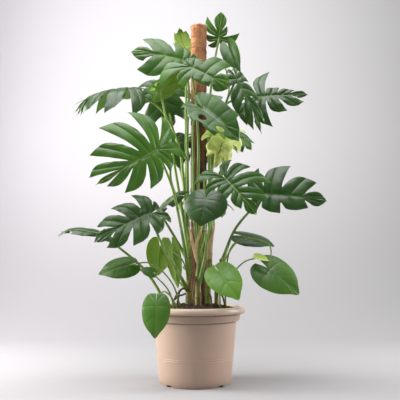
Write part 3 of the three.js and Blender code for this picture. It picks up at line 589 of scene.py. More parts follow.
def stem_skin():
    """Green climbing stem, tan and corky low down and at its rings."""

    def build(graph):
        ring = graph.attribute("ring")
        streaks = graph.noise(90, 4, (1, 1, 0.12), 0.6)
        patches = graph.noise(24, 4, (1, 1, 0.6))
        height = graph.axis(2)
        low = (1 - height.rise(0.3, 0.62)) * patches.rise(0.42, 0.6)
        green = graph.mix(streaks.rise(0.35, 0.7), srgb(98, 124, 50), srgb(152, 176, 84))
        cork = graph.mix(streaks.rise(0.3, 0.7), srgb(132, 108, 64), srgb(202, 176, 120))
        colour = graph.mix(low * 0.85, green, cork)
        return {
            "Base Color": graph.mix(ring * 0.8, colour, srgb(92, 66, 40)),
            "Roughness": 0.42 + 0.3 * low,
            "Normal": graph.bump(streaks, 0.3, 0.001),
        }

    return new_material("stem_skin", build, srgb(112, 138, 66))


def leaf_skin(name, deep, fresh, vein, under, gloss, clear):
    """A waxy blade, paler below, with its veins as light lines that are more or less clear."""

    def build(graph):
        clouds = graph.noise(14, 4)
        cells = graph.noise(260, 4)
        shade = graph.attribute("shade")
        back = graph.attribute("under")
        rib = 1 - graph.attribute("rib_gap").rise(0.8, 3.4)
        lateral = 1 - graph.attribute("vein_gap").rise(0.2, 1.7)
        lines = (rib * clear).most(lateral * 0.4 * clear)
        # The shade attribute moves the green towards the fresh colour. Where a leaf's row gives it, this is
        # painted light and shade.
        green = graph.mix(clouds.rise(0.3, 0.7) * 0.6 + shade * 0.5, deep, fresh)
        green = graph.mix(cells.rise(0.35, 0.7) * 0.16, green, fresh)
        top = graph.mix(lines, green, vein)
        below = graph.mix(lines * 0.5 + clouds * 0.1, under, vein)
        return {
            "Base Color": graph.mix(back, top, below),
            "Roughness": gloss + 0.16 * clouds + 0.2 * back,
            "Normal": graph.bump(cells * 0.6 + clouds * 0.4, 0.25, 0.0012),
            "Specular IOR Level": 0.55,
            "Subsurface Weight": 0.12,
            "Subsurface Radius": (0.004, 0.008, 0.002),
            "Subsurface Scale": 0.6,
        }

    return new_material(name, build, deep)


def petiole_skin(name, pale, dark):
    def build(graph):
        streaks = graph.noise(70, 4, (1, 1, 0.1), 0.6)
        speckle = graph.noise(520, 3)
        colour = graph.mix(streaks.rise(0.3, 0.7), dark, pale)
        colour = graph.mix(speckle.rise(0.62, 0.74) * 0.35, colour, srgb(176, 190, 118))
        return {
            "Base Color": colour,
            "Roughness": 0.36 + 0.15 * streaks,
            "Normal": graph.bump(streaks, 0.2, 0.0008),
        }

    return new_material(name, build, pale)


# ---- Meshes ---------------------------------------------------------------------------------------------


class Shape:
    """The vertices, faces and vertex numbers of one piece, in millimetres."""

    def __init__(self, *names):
        self.points = []
        self.faces = []
        self.slots = []
        self.values = {name: [] for name in names}

    def add(self, points, faces, slot=0, **values):
        base = sum(len(block) for block in self.points)
        self.points.append(np.asarray(points, float))
        self.faces += [tuple(base + i for i in face) for face in faces]
        self.slots += [slot] * len(faces)
        for name, store in self.values.items():
            store.append(np.broadcast_to(values.get(name, 0.0), len(points)))

    def build(self, name, materials, sharp=50):
        mesh = bpy.data.meshes.new(name)
        mesh.from_pydata((np.concatenate(self.points) * MM).tolist(), [], self.faces)
        for label, store in self.values.items():
            layer = mesh.attributes.new(label, "FLOAT", "POINT")
            layer.data.foreach_set("value", np.concatenate(store).astype(np.float32))
        for made in materials:
            mesh.materials.append(made)
        mesh.polygons.foreach_set("material_index", self.slots)
        return finish_mesh(name, mesh, sharp)


def finish_mesh(name, mesh, sharp=50):
    mesh.validate()
    mesh.shade_smooth()
    mesh.set_sharp_from_angle(angle=math.radians(sharp))
    piece = bpy.data.objects.new(name, mesh)
    bpy.context.scene.collection.objects.link(piece)
    return piece


def seat(piece, nodes=(), slot=None):
    """The piece belongs to the plant, and stands for these solids."""
    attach(piece, "root")
    if nodes:
        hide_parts(*nodes)


def smoothstep(x, low, high):
    share = np.clip((x - low) / (high - low), 0, 1)
    return share * share * (3 - 2 * share)


def rough(x, y, z, scale, seed=0.0):
    """Smooth noise from -1 to 1 at a place in millimetres, with features of the given size."""
    return noise.noise(Vector((x / scale + seed, y / scale - seed, z / scale + 0.5 * seed)))


def lumps(x, y, z, layers):
    """Noise in several sizes, added up."""
    return sum(height * rough(x, y, z, size, seed) for height, size, seed in layers)


def hump(x, width):
    """1 where x is 0, and down to nearly 0 at twice the width on each side."""
    return np.exp(-((x / width) ** 2))


def mulberry(seed):
    """The same numbers for the same seed, each time."""
    state = seed * 7919 & 0xFFFFFFFF

    def draw():
        nonlocal state
        state = state + 0x6D2B79F5 & 0xFFFFFFFF
        t = (state ^ state >> 15) * (1 | state) & 0xFFFFFFFF
        t = (t + ((t ^ t >> 7) * (61 | t) & 0xFFFFFFFF) & 0xFFFFFFFF) ^ t
        return (t ^ t >> 14) / 4294967296

    return draw


def smooth_line(points, count):
    """A centripetal Catmull-Rom curve through the points, as evenly spaced points."""
    knots = np.asarray(points, float)
    knots = np.vstack([2 * knots[0] - knots[1], knots, 2 * knots[-1] - knots[-2]])
    dense = []
    for a, b, c, d in zip(knots, knots[1:], knots[2:], knots[3:]):
        gaps = [max(np.linalg.norm(q - p), 1e-6) ** 0.5 for p, q in ((a, b), (b, c), (c, d))]
        into = (b - a) / gaps[0] - (c - a) / (gaps[0] + gaps[1]) + (c - b) / gaps[1]
        out = (c - b) / gaps[1] - (d - b) / (gaps[1] + gaps[2]) + (d - c) / gaps[2]
        into, out = into * gaps[1], out * gaps[1]
        t = np.linspace(0, 1, 24, endpoint=False)[:, None]
        curve = b + into * t + (3 * (c - b) - 2 * into - out) * t**2 + (2 * (b - c) + into + out) * t**3
        dense.append(curve)
    dense = np.vstack(dense + [knots[-2:-1]])
    walked = np.concatenate([[0], np.cumsum(np.linalg.norm(np.diff(dense, axis=0), axis=1))])
    even = np.linspace(0, walked[-1], count)
    return np.stack([np.interp(even, walked, dense[:, i]) for i in range(3)], axis=1)


def ring_faces(rings, sides):
    """The faces of a closed body: rings of points joined one to the next, then a point for each end."""
    pairs = [(j, (j + 1) % sides) for j in range(sides)]
    faces = []
    for low in range(0, (rings - 1) * sides, sides):
        high = low + sides
        faces += [(low + j, low + k, high + k, high + j) for j, k in pairs]
    last, end = (rings - 1) * sides, rings * sides
    for j, k in pairs:
        faces.append((k, j, end))
        faces.append((last + j, last + k, end + 1))
    return faces


def tube(line, radii, sides, flat=1.0):
    """A closed tube along a line. flat squeezes its section in one direction."""
    line = np.asarray(line, float)
    ahead = np.gradient(line, axis=0)
    ahead /= np.linalg.norm(ahead, axis=1)[:, None]
    start = np.array((0.0, -1.0, 0.0)) if abs(ahead[0][1]) < 0.9 else np.array((1.0, 0.0, 0.0))
    normal = start - ahead[0] * start.dot(ahead[0])
    angles = np.arange(sides) * 2 * math.pi / sides
    points = []
    for here, along, radius in zip(line, ahead, np.broadcast_to(radii, len(line))):
        normal = normal - along * normal.dot(along)
        normal /= np.linalg.norm(normal)
        other = np.cross(along, normal)
        ring = np.outer(np.cos(angles) * flat, normal) + np.outer(np.sin(angles), other)
        points.append(here + ring * radius)
    return np.vstack(points + [line[:1], line[-1:]]), ring_faces(len(line), sides)


def lathe(profile, sides):
    """A closed solid of revolution about Z from (radius, height) points that start and end on the axis."""
    radii = np.array([p[0] for p in profile[1:-1]])
    levels = np.array([p[1] for p in profile[1:-1]])
    angles = np.arange(sides) * 2 * math.pi / sides
    across, deep = np.outer(radii, np.cos(angles)), np.outer(radii, np.sin(angles))
    rings = np.stack([across, deep, np.repeat(levels[:, None], sides, axis=1)], axis=2)
    points = np.vstack([rings.reshape(-1, 3), [(0, 0, profile[0][1])], [(0, 0, profile[-1][1])]])
    return points, ring_faces(len(radii), sides)


def fillet(corners, steps=5):
    """(radius, height, rounding) corners as a profile whose corners are rounded."""
    profile = []
    for i, (x, z, rounding) in enumerate(corners):
        here = Vector((x, z))
        if rounding == 0 or i in (0, len(corners) - 1):
            profile.append((x, z))
            continue
        before = Vector(corners[i - 1][:2]) - here
        after = Vector(corners[i + 1][:2]) - here
        reach = min(rounding, before.length * 0.49, after.length * 0.49)
        first = here + before.normalized() * reach
        last = here + after.normalized() * reach
        for step in range(steps + 1):
            t = step / steps
            point = first * (1 - t) ** 2 + here * 2 * t * (1 - t) + last * t**2
            profile.append((point.x, point.y))
    return profile


# ---- Geometry node trees --------------------------------------------------------------------------------


def new_tree(name, inputs):
    """An empty geometry tree with a geometry input and the named ones, its graph and its input wires."""
    tree = bpy.data.node_groups.new(name, "GeometryNodeTree")
    tree.interface.new_socket("Geometry", in_out="OUTPUT", socket_type="NodeSocketGeometry")
    tree.interface.new_socket("Geometry", in_out="INPUT", socket_type="NodeSocketGeometry")
    for label, kind in inputs.items():
        tree.interface.new_socket(label, in_out="INPUT", socket_type="NodeSocket" + kind)
    graph = Graph(tree)
    source = graph.node("NodeGroupInput")
    return tree, graph, {label: source.other(label) for label in ["Geometry", *inputs]}


def close_tree(tree, graph, geometry, material):
    real = graph.node("GeometryNodeRealizeInstances", None, {"Geometry": geometry})
    coloured = graph.node("GeometryNodeSetMaterial", None, {"Geometry": real, "Material": material})
    end = tree.nodes.new("NodeGroupOutput")
    tree.links.new(coloured.socket, end.inputs["Geometry"])


def grow(name, base, tree, values):
    """The mesh that a geometry tree makes of a base mesh, as a plain object."""
    carrier = bpy.data.objects.new(name + "_base", base)
    bpy.context.scene.collection.objects.link(carrier)
    modifier = carrier.modifiers.new(name, "NODES")
    modifier.node_group = tree
    for item in tree.interface.items_tree:
        if item.item_type == "SOCKET" and item.in_out == "INPUT" and item.name in values:
            modifier[item.identifier] = values[item.name]
    view = bpy.context.evaluated_depsgraph_get()
    mesh = bpy.data.meshes.new_from_object(carrier.evaluated_get(view), depsgraph=view)
    carrier.modifiers.remove(modifier)
    bpy.data.objects.remove(carrier)
    mesh.name = name
    return finish_mesh(name, mesh)


def round_rod(graph, line, sides, radius, caps=True):
    """A round rod along a curve."""
    values = {"Resolution": sides, "Radius": radius}
    ring = graph.node("GeometryNodeCurvePrimitiveCircle", {"mode": "RADIUS"}, values)
    values = {"Curve": line, "Profile Curve": ring, "Fill Caps": caps}
    return graph.node("GeometryNodeCurveToMesh", None, values)


def scatter_tree(name, make_item):
    """Items scattered over the base mesh's faces, standing on them, turned and sized at random."""
    inputs = {"Density": "Float", "Length": "Float", "Thickness": "Float", "Seed": "Int"}
    tree, graph, wires = new_tree(name, {**inputs, "Material": "Material"})
    spread = {"Mesh": wires["Geometry"], "Density": wires["Density"], "Seed": wires["Seed"]}
    points = graph.node("GeometryNodeDistributePointsOnFaces", None, spread)
    turn = graph.node(
        "FunctionNodeRandomValue",
        {"data_type": "FLOAT_VECTOR"},
        {0: (-0.25, -0.25, 0.0), 1: (0.25, 0.25, 2 * math.pi), "Seed": wires["Seed"]},
    )
    turn = graph.node("FunctionNodeEulerToRotation", None, {0: turn})
    settings = {"rotation_space": "LOCAL"}
    turned = {"Rotation": points.other("Rotation"), "Rotate By": turn}
    rotation = graph.node("FunctionNodeRotateRotation", settings, turned)
    size = graph.node(
        "FunctionNodeRandomValue", {"data_type": "FLOAT"}, {2: 0.45, 3: 1.3, "Seed": wires["Seed"]}, 1
    )
    placed = {"Points": points, "Instance": make_item(graph, wires), "Rotation": rotation, "Scale": size}
    copies = graph.node("GeometryNodeInstanceOnPoints", None, placed)
    close_tree(tree, graph, copies, wires["Material"])
    return tree


def fibre_item(graph, wires):
    """A fibre that hugs the pole in the middle and lifts off it at its ends."""
    length = wires["Length"]
    ends = [
        graph.node("ShaderNodeCombineXYZ", None, {0: length * -0.5, 2: 0.0006}),
        graph.node("ShaderNodeCombineXYZ", None, {1: length * 0.18, 2: 0.0022}),
        graph.node("ShaderNodeCombineXYZ", None, {0: length * 0.5, 2: -0.0012}),
    ]
    values = {"Resolution": 5, "Start": ends[0], "Middle": ends[1], "End": ends[2]}
    arc = graph.node("GeometryNodeCurveQuadraticBezier", None, values)
    return round_rod(graph, arc, 3, wires["Thickness"], False)


def crumb_item(graph, wires):
    ball = graph.node("GeometryNodeMeshIcoSphere", None, {"Radius": wires["Length"], "Subdivisions": 1})
    flat = graph.node("ShaderNodeCombineXYZ", None, {0: 1.5, 1: 1.0, 2: wires["Thickness"]})
    return graph.node("GeometryNodeTransform", None, {"Geometry": ball, "Scale": flat})


def wrap_tree():
    """Thread wound round a pole as a spiral."""
    inputs = {"Turns": "Float", "Radius": "Float", "Height": "Float", "Thickness": "Float"}
    tree, graph, wires = new_tree("thread_wrap", {**inputs, "Foot": "Vector", "Material": "Material"})
    spiral = {"Resolution": 40, "Rotations": wires["Turns"], "Height": wires["Height"]}
    spiral.update({"Start Radius": wires["Radius"], "End Radius": wires["Radius"]})
    line = graph.node("GeometryNodeCurveSpiral", None, spiral)
    line = graph.node("GeometryNodeTransform", None, {"Geometry": line, "Translation": wires["Foot"]})
    close_tree(tree, graph, round_rod(graph, line, 6, wires["Thickness"]), wires["Material"])
    return tree


def rootlet_tree():
    """Thin roots along a wire mesh's lines, which wander a little."""
    inputs = {"Thickness": "Float", "Wander": "Float", "Material": "Material"}
    tree, graph, wires = new_tree("rootlets", inputs)
    line = graph.node("GeometryNodeMeshToCurve", None, {"Mesh": wires["Geometry"]})
    line = graph.node("GeometryNodeResampleCurve", None, {"Curve": line, "Count": 22})
    where = graph.node("GeometryNodeInputPosition")
    drift = graph.node("ShaderNodeTexNoise", None, {"Vector": where, "Scale": 42.0}).other("Color")
    drift = graph.node("ShaderNodeVectorMath", {"operation": "SUBTRACT"}, {0: drift, 1: (0.5, 0.5, 0.5)})
    drift = graph.node("ShaderNodeVectorMath", {"operation": "SCALE"}, {0: drift, "Scale": wires["Wander"]})
    line = graph.node("GeometryNodeSetPosition", None, {"Geometry": line, "Offset": drift})
    along = graph.node("GeometryNodeSplineParameter")
    line = graph.node("GeometryNodeSetCurveRadius", None, {"Curve": line, "Radius": 1 - along * 0.5})
    close_tree(tree, graph, round_rod(graph, line, 8, wires["Thickness"]), wires["Material"])
    return tree


# ---- Tub and soil ---------------------------------------------------------------------------------------


def wall_radius(z):
    """The inside of the tub's wall at a height."""
    if z < COLLAR_BOTTOM:
        return BASE_RADIUS + (BODY_RADIUS - BASE_RADIUS) * z / COLLAR_BOTTOM - TUB_WALL
    share = (z - COLLAR_BOTTOM) / (TUB_HEIGHT - COLLAR_BOTTOM)
    return BODY_RADIUS + (COLLAR_RADIUS - BODY_RADIUS) * share - TUB_WALL


def build_tub(settings):
    def body(z):
        foot = BASE_RADIUS + 1
        return foot + (BODY_RADIUS - foot) * (z - BASE_ROUND) / (COLLAR_BOTTOM - BASE_ROUND)

    # Corners as radius, height and rounding: up the outside, then down the inside.
    stand = settings.line_depth / MM
    corners = [
        (0, 0, 0),
        (BASE_RADIUS - 6, 0, 0),
        (BASE_RADIUS - 4, 0, 1),
        (BASE_RADIUS + 0.4, BASE_ROUND, 8),
    ]
    for z in BODY_LINES:
        corners += [(body(z - 1.5), z - 1.5, 0), (body(z) + stand, z - 0.5, 0.4)]
        corners += [(body(z) + stand, z + 0.5, 0.4), (body(z + 1.5), z + 1.5, 0)]
    bead = TUB_HEIGHT - RIM_BEAD
    corners += [
        (BODY_RADIUS, COLLAR_BOTTOM - 1, 3),
        (COLLAR_RADIUS - 3, COLLAR_BOTTOM + 2, 4),
        (COLLAR_RADIUS, COLLAR_TOP, 3),
        (RIM_RADIUS - 8, COLLAR_TOP, 2),
        (RIM_RADIUS - 2, bead - RIM_BEAD * 0.6, 5),
        (RIM_RADIUS, bead, 6),
        (RIM_RADIUS - 3, TUB_HEIGHT - 3, 6),
        (RIM_RADIUS - 13, TUB_HEIGHT, 6),
        (wall_radius(TUB_HEIGHT), TUB_HEIGHT, 3),
        (wall_radius(COLLAR_BOTTOM), COLLAR_BOTTOM, 4),
        (wall_radius(TUB_FLOOR), TUB_FLOOR, 3),
        (0, TUB_FLOOR, 0),
    ]
    shape = Shape()
    shape.add(*lathe(fillet(corners), TUB_SIDES))
    tub = shape.build("nursery_tub", [tub_plastic(settings.colour)], 35)

    cutter = Shape()
    half = [c / 2 for c in SLOT_SIZE]
    signs = [(x, y, z) for z in (-1, 1) for y in (-1, 1) for x in (-1, 1)]
    box = ((0, 2, 3, 1), (4, 5, 7, 6), (0, 1, 5, 4), (2, 6, 7, 3), (0, 4, 6, 2), (1, 3, 7, 5))
    for i in range(SLOT_COUNT):
        turn = (i + 0.5) / SLOT_COUNT * 2 * math.pi
        ahead = np.array((-math.sin(turn), math.cos(turn), 0))
        across = np.array((math.cos(turn), math.sin(turn), 0))
        middle = ahead * BASE_RADIUS + np.array((0, 0, half[2] - SLOT_SINK))
        points = []
        for x, y, z in signs:
            points.append(middle + across * x * half[0] + ahead * y * half[1] + np.array((0, 0, z * half[2])))
        cutter.add(points, box)
    slots = cutter.build("slot_cutter", [])
    cut = tub.modifiers.new("slots", "BOOLEAN")
    cut.operation = "DIFFERENCE"
    cut.solver = "EXACT"
    cut.object = slots
    view = bpy.context.evaluated_depsgraph_get()
    mesh = bpy.data.meshes.new_from_object(tub.evaluated_get(view), depsgraph=view)
    tub.modifiers.remove(cut)
    tub.data = mesh
    mesh.name = "nursery_tub"
    bpy.data.objects.remove(slots)
    seat(tub, ["tub"], "tub")


def soil_height(x, y):
    share = min(math.hypot(x, y) / wall_radius(SOIL_EDGE), 1.0)
    return SOIL_EDGE + SOIL_CROWN * (1 - share * share) + lumps(x, y, 0, SOIL_LUMPS) * (1 - share**6)


def build_soil(settings):
    edge = wall_radius(SOIL_EDGE) - SOIL_PLAY
    profile = [(0, SOIL_FOOT)]
    profile += [(wall_radius(z) - 2 * SOIL_PLAY, z) for z in (SOIL_FOOT, COLLAR_BOTTOM)]
    profile += [(edge * i / SOIL_RINGS, SOIL_EDGE) for i in range(SOIL_RINGS, 0, -1)] + [(0, SOIL_EDGE)]
    points, faces = lathe(profile, SOIL_SIDES)
    for point in points:
        if point[2] >= SOIL_EDGE:
            point[2] = soil_height(point[0], point[1])
    shape = Shape()
    shape.add(points, faces)
    soil = shape.build("potting_mix", [potting_soil()], 80)
    seat(soil, ["soil"], "soil")

    bed = bpy.data.meshes.new("crumb_bed")
    top = [p for p in points if p[2] > SOIL_EDGE - SOIL_DIP]
    kept = {tuple(p): i for i, p in enumerate(top)}
    rings = [[kept.get(tuple(points[i])) for i in face] for face in faces]
    patches = [ring for ring in rings if None not in ring]
    bed.from_pydata([Vector(p) * MM for p in top], [], patches)
    values = {
        "Density": settings.crumb_density,
        "Length": settings.crumb_size,
        "Thickness": 0.6,
        "Seed": 4,
        "Material": bark_crumb(),
    }
    crumbs = grow("soil_crumbs", bed, scatter_tree("soil_crumbs", crumb_item), values)
    seat(crumbs, slot="soil")


# ---- Pole -----------------------------------------------------------------------------------------------


def build_pole(settings):
    levels = np.arange(POLE_FOOT, POLE_TOP - SLEEVE_CAP, SLEEVE_STEP)
    profile = [(0, POLE_FOOT), (POLE_RADIUS - 4, POLE_FOOT)] + [(POLE_RADIUS - 0.5, z) for z in levels]
    profile += [(POLE_RADIUS - 1.5, POLE_TOP - 4), (POLE_RADIUS - 4, POLE_TOP - 1.5)]
    profile += [(POLE_RADIUS * s, POLE_TOP - 1) for s in (0.75, 0.6, 0.45, 0.3, 0.15)] + [(0, POLE_TOP - 2)]
    points, faces = lathe(profile, SLEEVE_SIDES)
    for point in points:
        x, y, z = point
        lump = lumps(x, y, z, SLEEVE_LUMPS)
        off_pinch = ((z - POLE_FOOT) / settings.wrap_pitch * MM % 1 - 0.5) / PINCH_WIDTH
        pinch = -PINCH_DEPTH * math.exp(-(off_pinch**2))
        radius = math.hypot(x, y)
        if z < POLE_TOP - SLEEVE_CAP:
            point[:2] *= 1 + (lump + pinch) / max(radius, 1)
        else:
            point[2] += lump
    points = points + np.array((POLE_X, POLE_Y, 0))
    shape = Shape()
    shape.add(points, faces)
    sleeve_coir = coir(srgb(226, 168, 120), srgb(184, 124, 84), "coir_mat")
    sleeve = shape.build("coir_wrap", [sleeve_coir], 80)
    seat(sleeve, ["coir_sleeve"], "coir")

    values = {
        "Density": settings.fibre_density,
        "Length": settings.fibre_length,
        "Thickness": settings.fibre_thickness,
        "Seed": 11,
        "Material": coir(srgb(238, 188, 142), srgb(198, 140, 96), "coir_strand"),
    }
    fibres = grow("coir_fibres", sleeve.data.copy(), scatter_tree("coir_fibres", fibre_item), values)
    seat(fibres, slot="coir")

    height = (POLE_TOP - POLE_FOOT) * MM - 2 * THREAD_END * MM
    values = {
        "Turns": height / settings.wrap_pitch,
        "Radius": (POLE_RADIUS + THREAD_STAND) * MM,
        "Height": height,
        "Thickness": settings.thread_thickness,
        "Foot": (POLE_X * MM, POLE_Y * MM, POLE_FOOT * MM + THREAD_END * MM),
        "Material": thread_material(),
    }
    thread = grow("tie_thread", bpy.data.meshes.new("thread_base"), wrap_tree(), values)
    seat(thread, slot="coir")

    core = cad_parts["pole_core"]
    core.data.materials.clear()
    core.data.materials.append(stake_wood())


# ---- Stems ----------------------------------------------------------------------------------------------


def stem_shape(shape, line, radii, spacing, seed):
    """A stem with swollen, ringed nodes, which narrows to a blunt tip."""
    path = smooth_line(line, STEM_STEPS)
    walked = np.linspace(0, np.linalg.norm(np.diff(path, axis=0), axis=1).sum(), len(path))
    share = walked / walked[-1]
    gap = np.abs((walked / spacing + seed * 0.37) % 1 - 0.5) * spacing
    ring = hump(gap, RING_WIDTH)
    radius = radii[0] + (radii[1] - radii[0]) * share
    radius = radius * (0.95 + 0.07 * hump(gap, NODE_WIDTH)) + 0.5 * ring
    radius = radius * np.clip((1 - share) / 0.02, 0.05, 1) ** 0.5
    lean = np.sin(walked / spacing * math.pi + seed)
    path = path + np.outer(lean, (1.2, 0.6, 0))
    points, faces = tube(path, radius, STEM_SIDES)
    marks = np.concatenate([np.repeat(ring, STEM_SIDES), [0, 0]])
    shape.add(points, faces, 0, ring=marks)


def sheath_shape(shape, line):
    """A dried leaf sheath: a thin papery strip that curls off the stem to a point."""
    path = smooth_line(line, SHEATH_STEPS)
    share = np.linspace(0, 1, len(path))
    width = SHEATH_WIDTH * (1 - share) ** 0.5 * (0.5 + 0.5 * np.sqrt(np.clip(share * 5, 0, 1))) + 0.4
    shape.add(*tube(path, width, SHEATH_SIDES, SHEATH_FLATNESS), 1)


def build_stems(settings):
    materials = [stem_skin(), dry_sheath()]
    wires = bpy.data.meshes.new("root_lines")
    points, edges = [], []
    for seed, (name, stem) in enumerate(STEMS.items()):
        shape = Shape("ring")
        stem_shape(shape, stem["line"], stem["radii"], settings.node_spacing / MM, seed)
        for line in stem["sheaths"]:
            sheath_shape(shape, line)
        piece = shape.build("climbing_stem_" + name, materials, 60)
        seat(piece, ["stem_" + name], "stem")
        for line in stem["roots"]:
            path = smooth_line(line, ROOT_STEPS) * MM
            base = len(points)
            points += path.tolist()
            edges += [(base + i, base + i + 1) for i in range(len(path) - 1)]
    wires.from_pydata(points, edges, [])
    values = {"Thickness": settings.root_radius, "Wander": 0.008, "Material": root_skin()}
    roots = grow("aerial_roots", wires, rootlet_tree(), values)
    seat(roots, slot="stem")


# ---- Leaves ---------------------------------------------------------------------------------------------


def outline_at(angle):
    return np.interp(angle, [a for a, _ in OUTLINE], [r for _, r in OUTLINE])


def flat_point(leaf, length, k, s):
    """A point on the flat blade, s of the way out along vein k: u along the midrib, v across it."""
    fingers = leaf["fingers"]
    start = leaf["span"] * np.clip((k - 1) / (fingers - 2), 0, 1) ** 1.4 * length
    angle = leaf["sinus"] * (1 - k / fingers) ** leaf["spread"]
    tip = 0 if leaf["slit"] > 0 else DRIP_TIP * hump(angle, DRIP_TIP_ANGLE)
    reach = outline_at(angle) * (1 + tip) * length
    end_u = reach * np.cos(angle * DEGREE)
    end_v = reach * np.sin(angle * DEGREE) * leaf["width"]
    bow = VEIN_BOW * np.hypot(end_u - start, end_v) * np.sin(angle * DEGREE)
    u = (1 - s) ** 2 * start + 2 * s * (1 - s) * ((start + end_u) / 2 - bow) + s * s * end_u
    v = s * (1 - s) * end_v + s * s * end_v
    return u, v


def blade_surface(leaf):
    """The blade's length, and the function that bends flat coordinates and sets them in place."""
    at = np.array(leaf["at"], float)
    along = np.array(leaf["tip"], float) - at
    chord = np.linalg.norm(along)
    along /= chord
    up = np.array(leaf["face"], float)
    up -= along * up.dot(along)
    up /= np.linalg.norm(up)
    across = np.cross(up, along)
    curl = max(leaf["curl"], 0.1) * DEGREE
    length = chord * curl / 2 / math.sin(curl / 2)
    fold = leaf["fold"] * DEGREE
    bend = max(leaf["arch"], 0.1) * DEGREE / (0.6 * length * leaf["width"])

    def place(u, v, drop):
        u, v, drop = np.broadcast_arrays(u, v, drop)
        slope = curl / 2 - curl * u / length
        x = (math.sin(curl / 2) - np.sin(slope)) * length / curl
        z = (np.cos(slope) - math.cos(curl / 2)) * length / curl
        lean = fold - bend * np.abs(v)
        y = np.sign(v) * (math.sin(fold) - np.sin(lean)) / bend
        rise = (np.cos(lean) - math.cos(fold)) / bend - drop
        ahead = (x - rise * np.sin(slope))[..., None] * along
        return at + ahead + y[..., None] * across + (z + rise * np.cos(slope))[..., None] * up

    return length, place


def edge_gap(leaf, side, k, s):
    """How far a finger's edge stands back from vein k beside it: perhaps a hole, then the slit."""
    gap = np.zeros_like(s)
    if side < 0 and k in leaf["pierced"]:
        low, high = leaf["hole"]
        share = np.clip((s - low) / (high - low), 0, 1)
        gap = HOLE_WIDTH * np.sin(math.pi * share) ** 0.7
    if leaf["slit"] > 0:
        opened = np.clip((s - 1 + leaf["slit"]) / leaf["slit"], 0, 1)
        gap = gap + leaf["gap"] * opened**0.5
    return gap


def finger_end(leaf, finger, t):
    """Where a finger ends: rounded off towards the petiole, pointed towards the blade's tip."""
    notch = FINGER_NOTCH * (1 - t) ** 2.5 if finger > 0 else 0
    return 1 + FINGER_POINT * t**4 - notch


def row_steps(leaf):
    """Steps out along a vein, close together where a slit or a hole starts."""
    if leaf["slit"] == 0:
        return np.linspace(0, 1, 20)
    start = 1 - leaf["slit"]
    beyond = start + leaf["slit"] * (np.arange(1, 19) / 18) ** 1.7
    steps = [*np.linspace(0, start, 5), *beyond]
    if "hole" in leaf:
        low, high = leaf["hole"]
        steps += list(low + (high - low) * (1 - np.cos(np.linspace(0, math.pi, 11))) / 2)
    return np.unique(np.round(steps, 5))


def grid_quads(base, rows, columns, turned):
    """The quads between the points of a grid, the other way round where they are turned."""
    quads = []
    for i in range(rows - 1):
        for j in range(columns - 1):
            a = base + i * columns + j
            quad = (a, a + 1, a + columns + 1, a + columns)
            quads.append(quad[::-1] if turned else quad)
    return quads


def blade_sheet(leaf, settings):
    """The blade's middle surface: points, quads, and each point's distances from midrib and vein."""
    length, place = blade_surface(leaf)
    random = mulberry(leaf["seed"])
    extra = mulberry(leaf["seed"] + 500)
    fingers, slit = leaf["fingers"], leaf["slit"]
    cut = min(slit / FULL_SLIT, 1)
    puff = settings.vein_depth / MM * min(1, length / FULL_LENGTH) * (0.35 + 0.55 * cut)
    s, t = np.meshgrid(row_steps(leaf), COLUMNS, indexing="ij")
    opened = np.clip((s - (1 - slit)) / slit, 0, 1) if slit > 0 else np.zeros_like(s)
    out = np.abs(2 * t - 1)
    points, quads, ribs, veins = [], [], [], []
    for side in (1, -1):
        for finger in range(fingers):
            if "reach" in leaf:
                reach = leaf["reach"][0 if side > 0 else 1][finger]
            else:
                reach = 0.94 + 0.12 * random()
            droop = leaf["droop"] * (0.6 + 0.8 * random())
            twist = (random() - 0.5) * 2 * leaf["droop"]
            low = edge_gap(leaf, side, finger, s) if finger > 0 else 0
            high = edge_gap(leaf, side, finger + 1, s) if finger < fingers - 1 else 0
            end = finger_end(leaf, finger, t) - settings.corner_rounding * out**6 * (t < 0.5)
            stretch = 1 + (end * reach - 1) * opened
            u, v = flat_point(leaf, length, finger + low + (1 - low - high) * t, s * stretch)
            swell = puff * out * (1.3 - out) * smoothstep(s, 0, 0.15)
            if finger == fingers - 1:
                swell = swell * np.where(t > 0.5, 1 - (2 * t - 1) ** 2, 1)
            phase, waves = extra() * WAVE, 1.5 + 1.5 * extra()
            ripple = np.sin(phase + waves * WAVE * s * np.sign(t - 0.5))
            drop = length * opened**2 * (droop + twist * (t - 0.5)) - swell
            drop = drop + RIPPLE * length * out**2 * opened * ripple
            here = place(u, side * v, drop)
            steps = np.linalg.norm(np.diff(here, axis=1), axis=2)
            walked = np.concatenate([np.zeros((len(s), 1)), np.cumsum(steps, axis=1)], axis=1)
            vein = np.abs(walked - walked[:, MIDDLE_COLUMN, None])
            rib = np.where(u > -4, np.abs(v), OFF_RIB)
            groove = VEIN_GROOVE[0] * hump(vein, VEIN_GROOVE[1]) * smoothstep(s, 0, 0.1)
            groove = (groove + RIB_GROOVE[0] * hump(rib, RIB_GROOVE[1])) * (0.2 + 0.8 * cut)
            here = place(u, side * v, drop + groove)
            base = len(points) * s.size
            points.append(here.reshape(-1, 3))
            ribs.append((rib + 2.0 * (1 - cut)).ravel())
            veins.append((vein + 6 * s * s + 1.2 * (1 - cut)).ravel())
            quads += grid_quads(base, *s.shape, side < 0)
    points = np.vstack(points)
    if leaf["crumple"] > 0:
        for point in points:
            x, y, z = point
            wander = [rough(x, y, z, CRUMPLE_SIZE, seed) for seed in (0.0, 4.0, 9.0)]
            point += leaf["crumple"] * np.array(wander)
    return points, quads, np.concatenate(ribs), np.concatenate(veins)


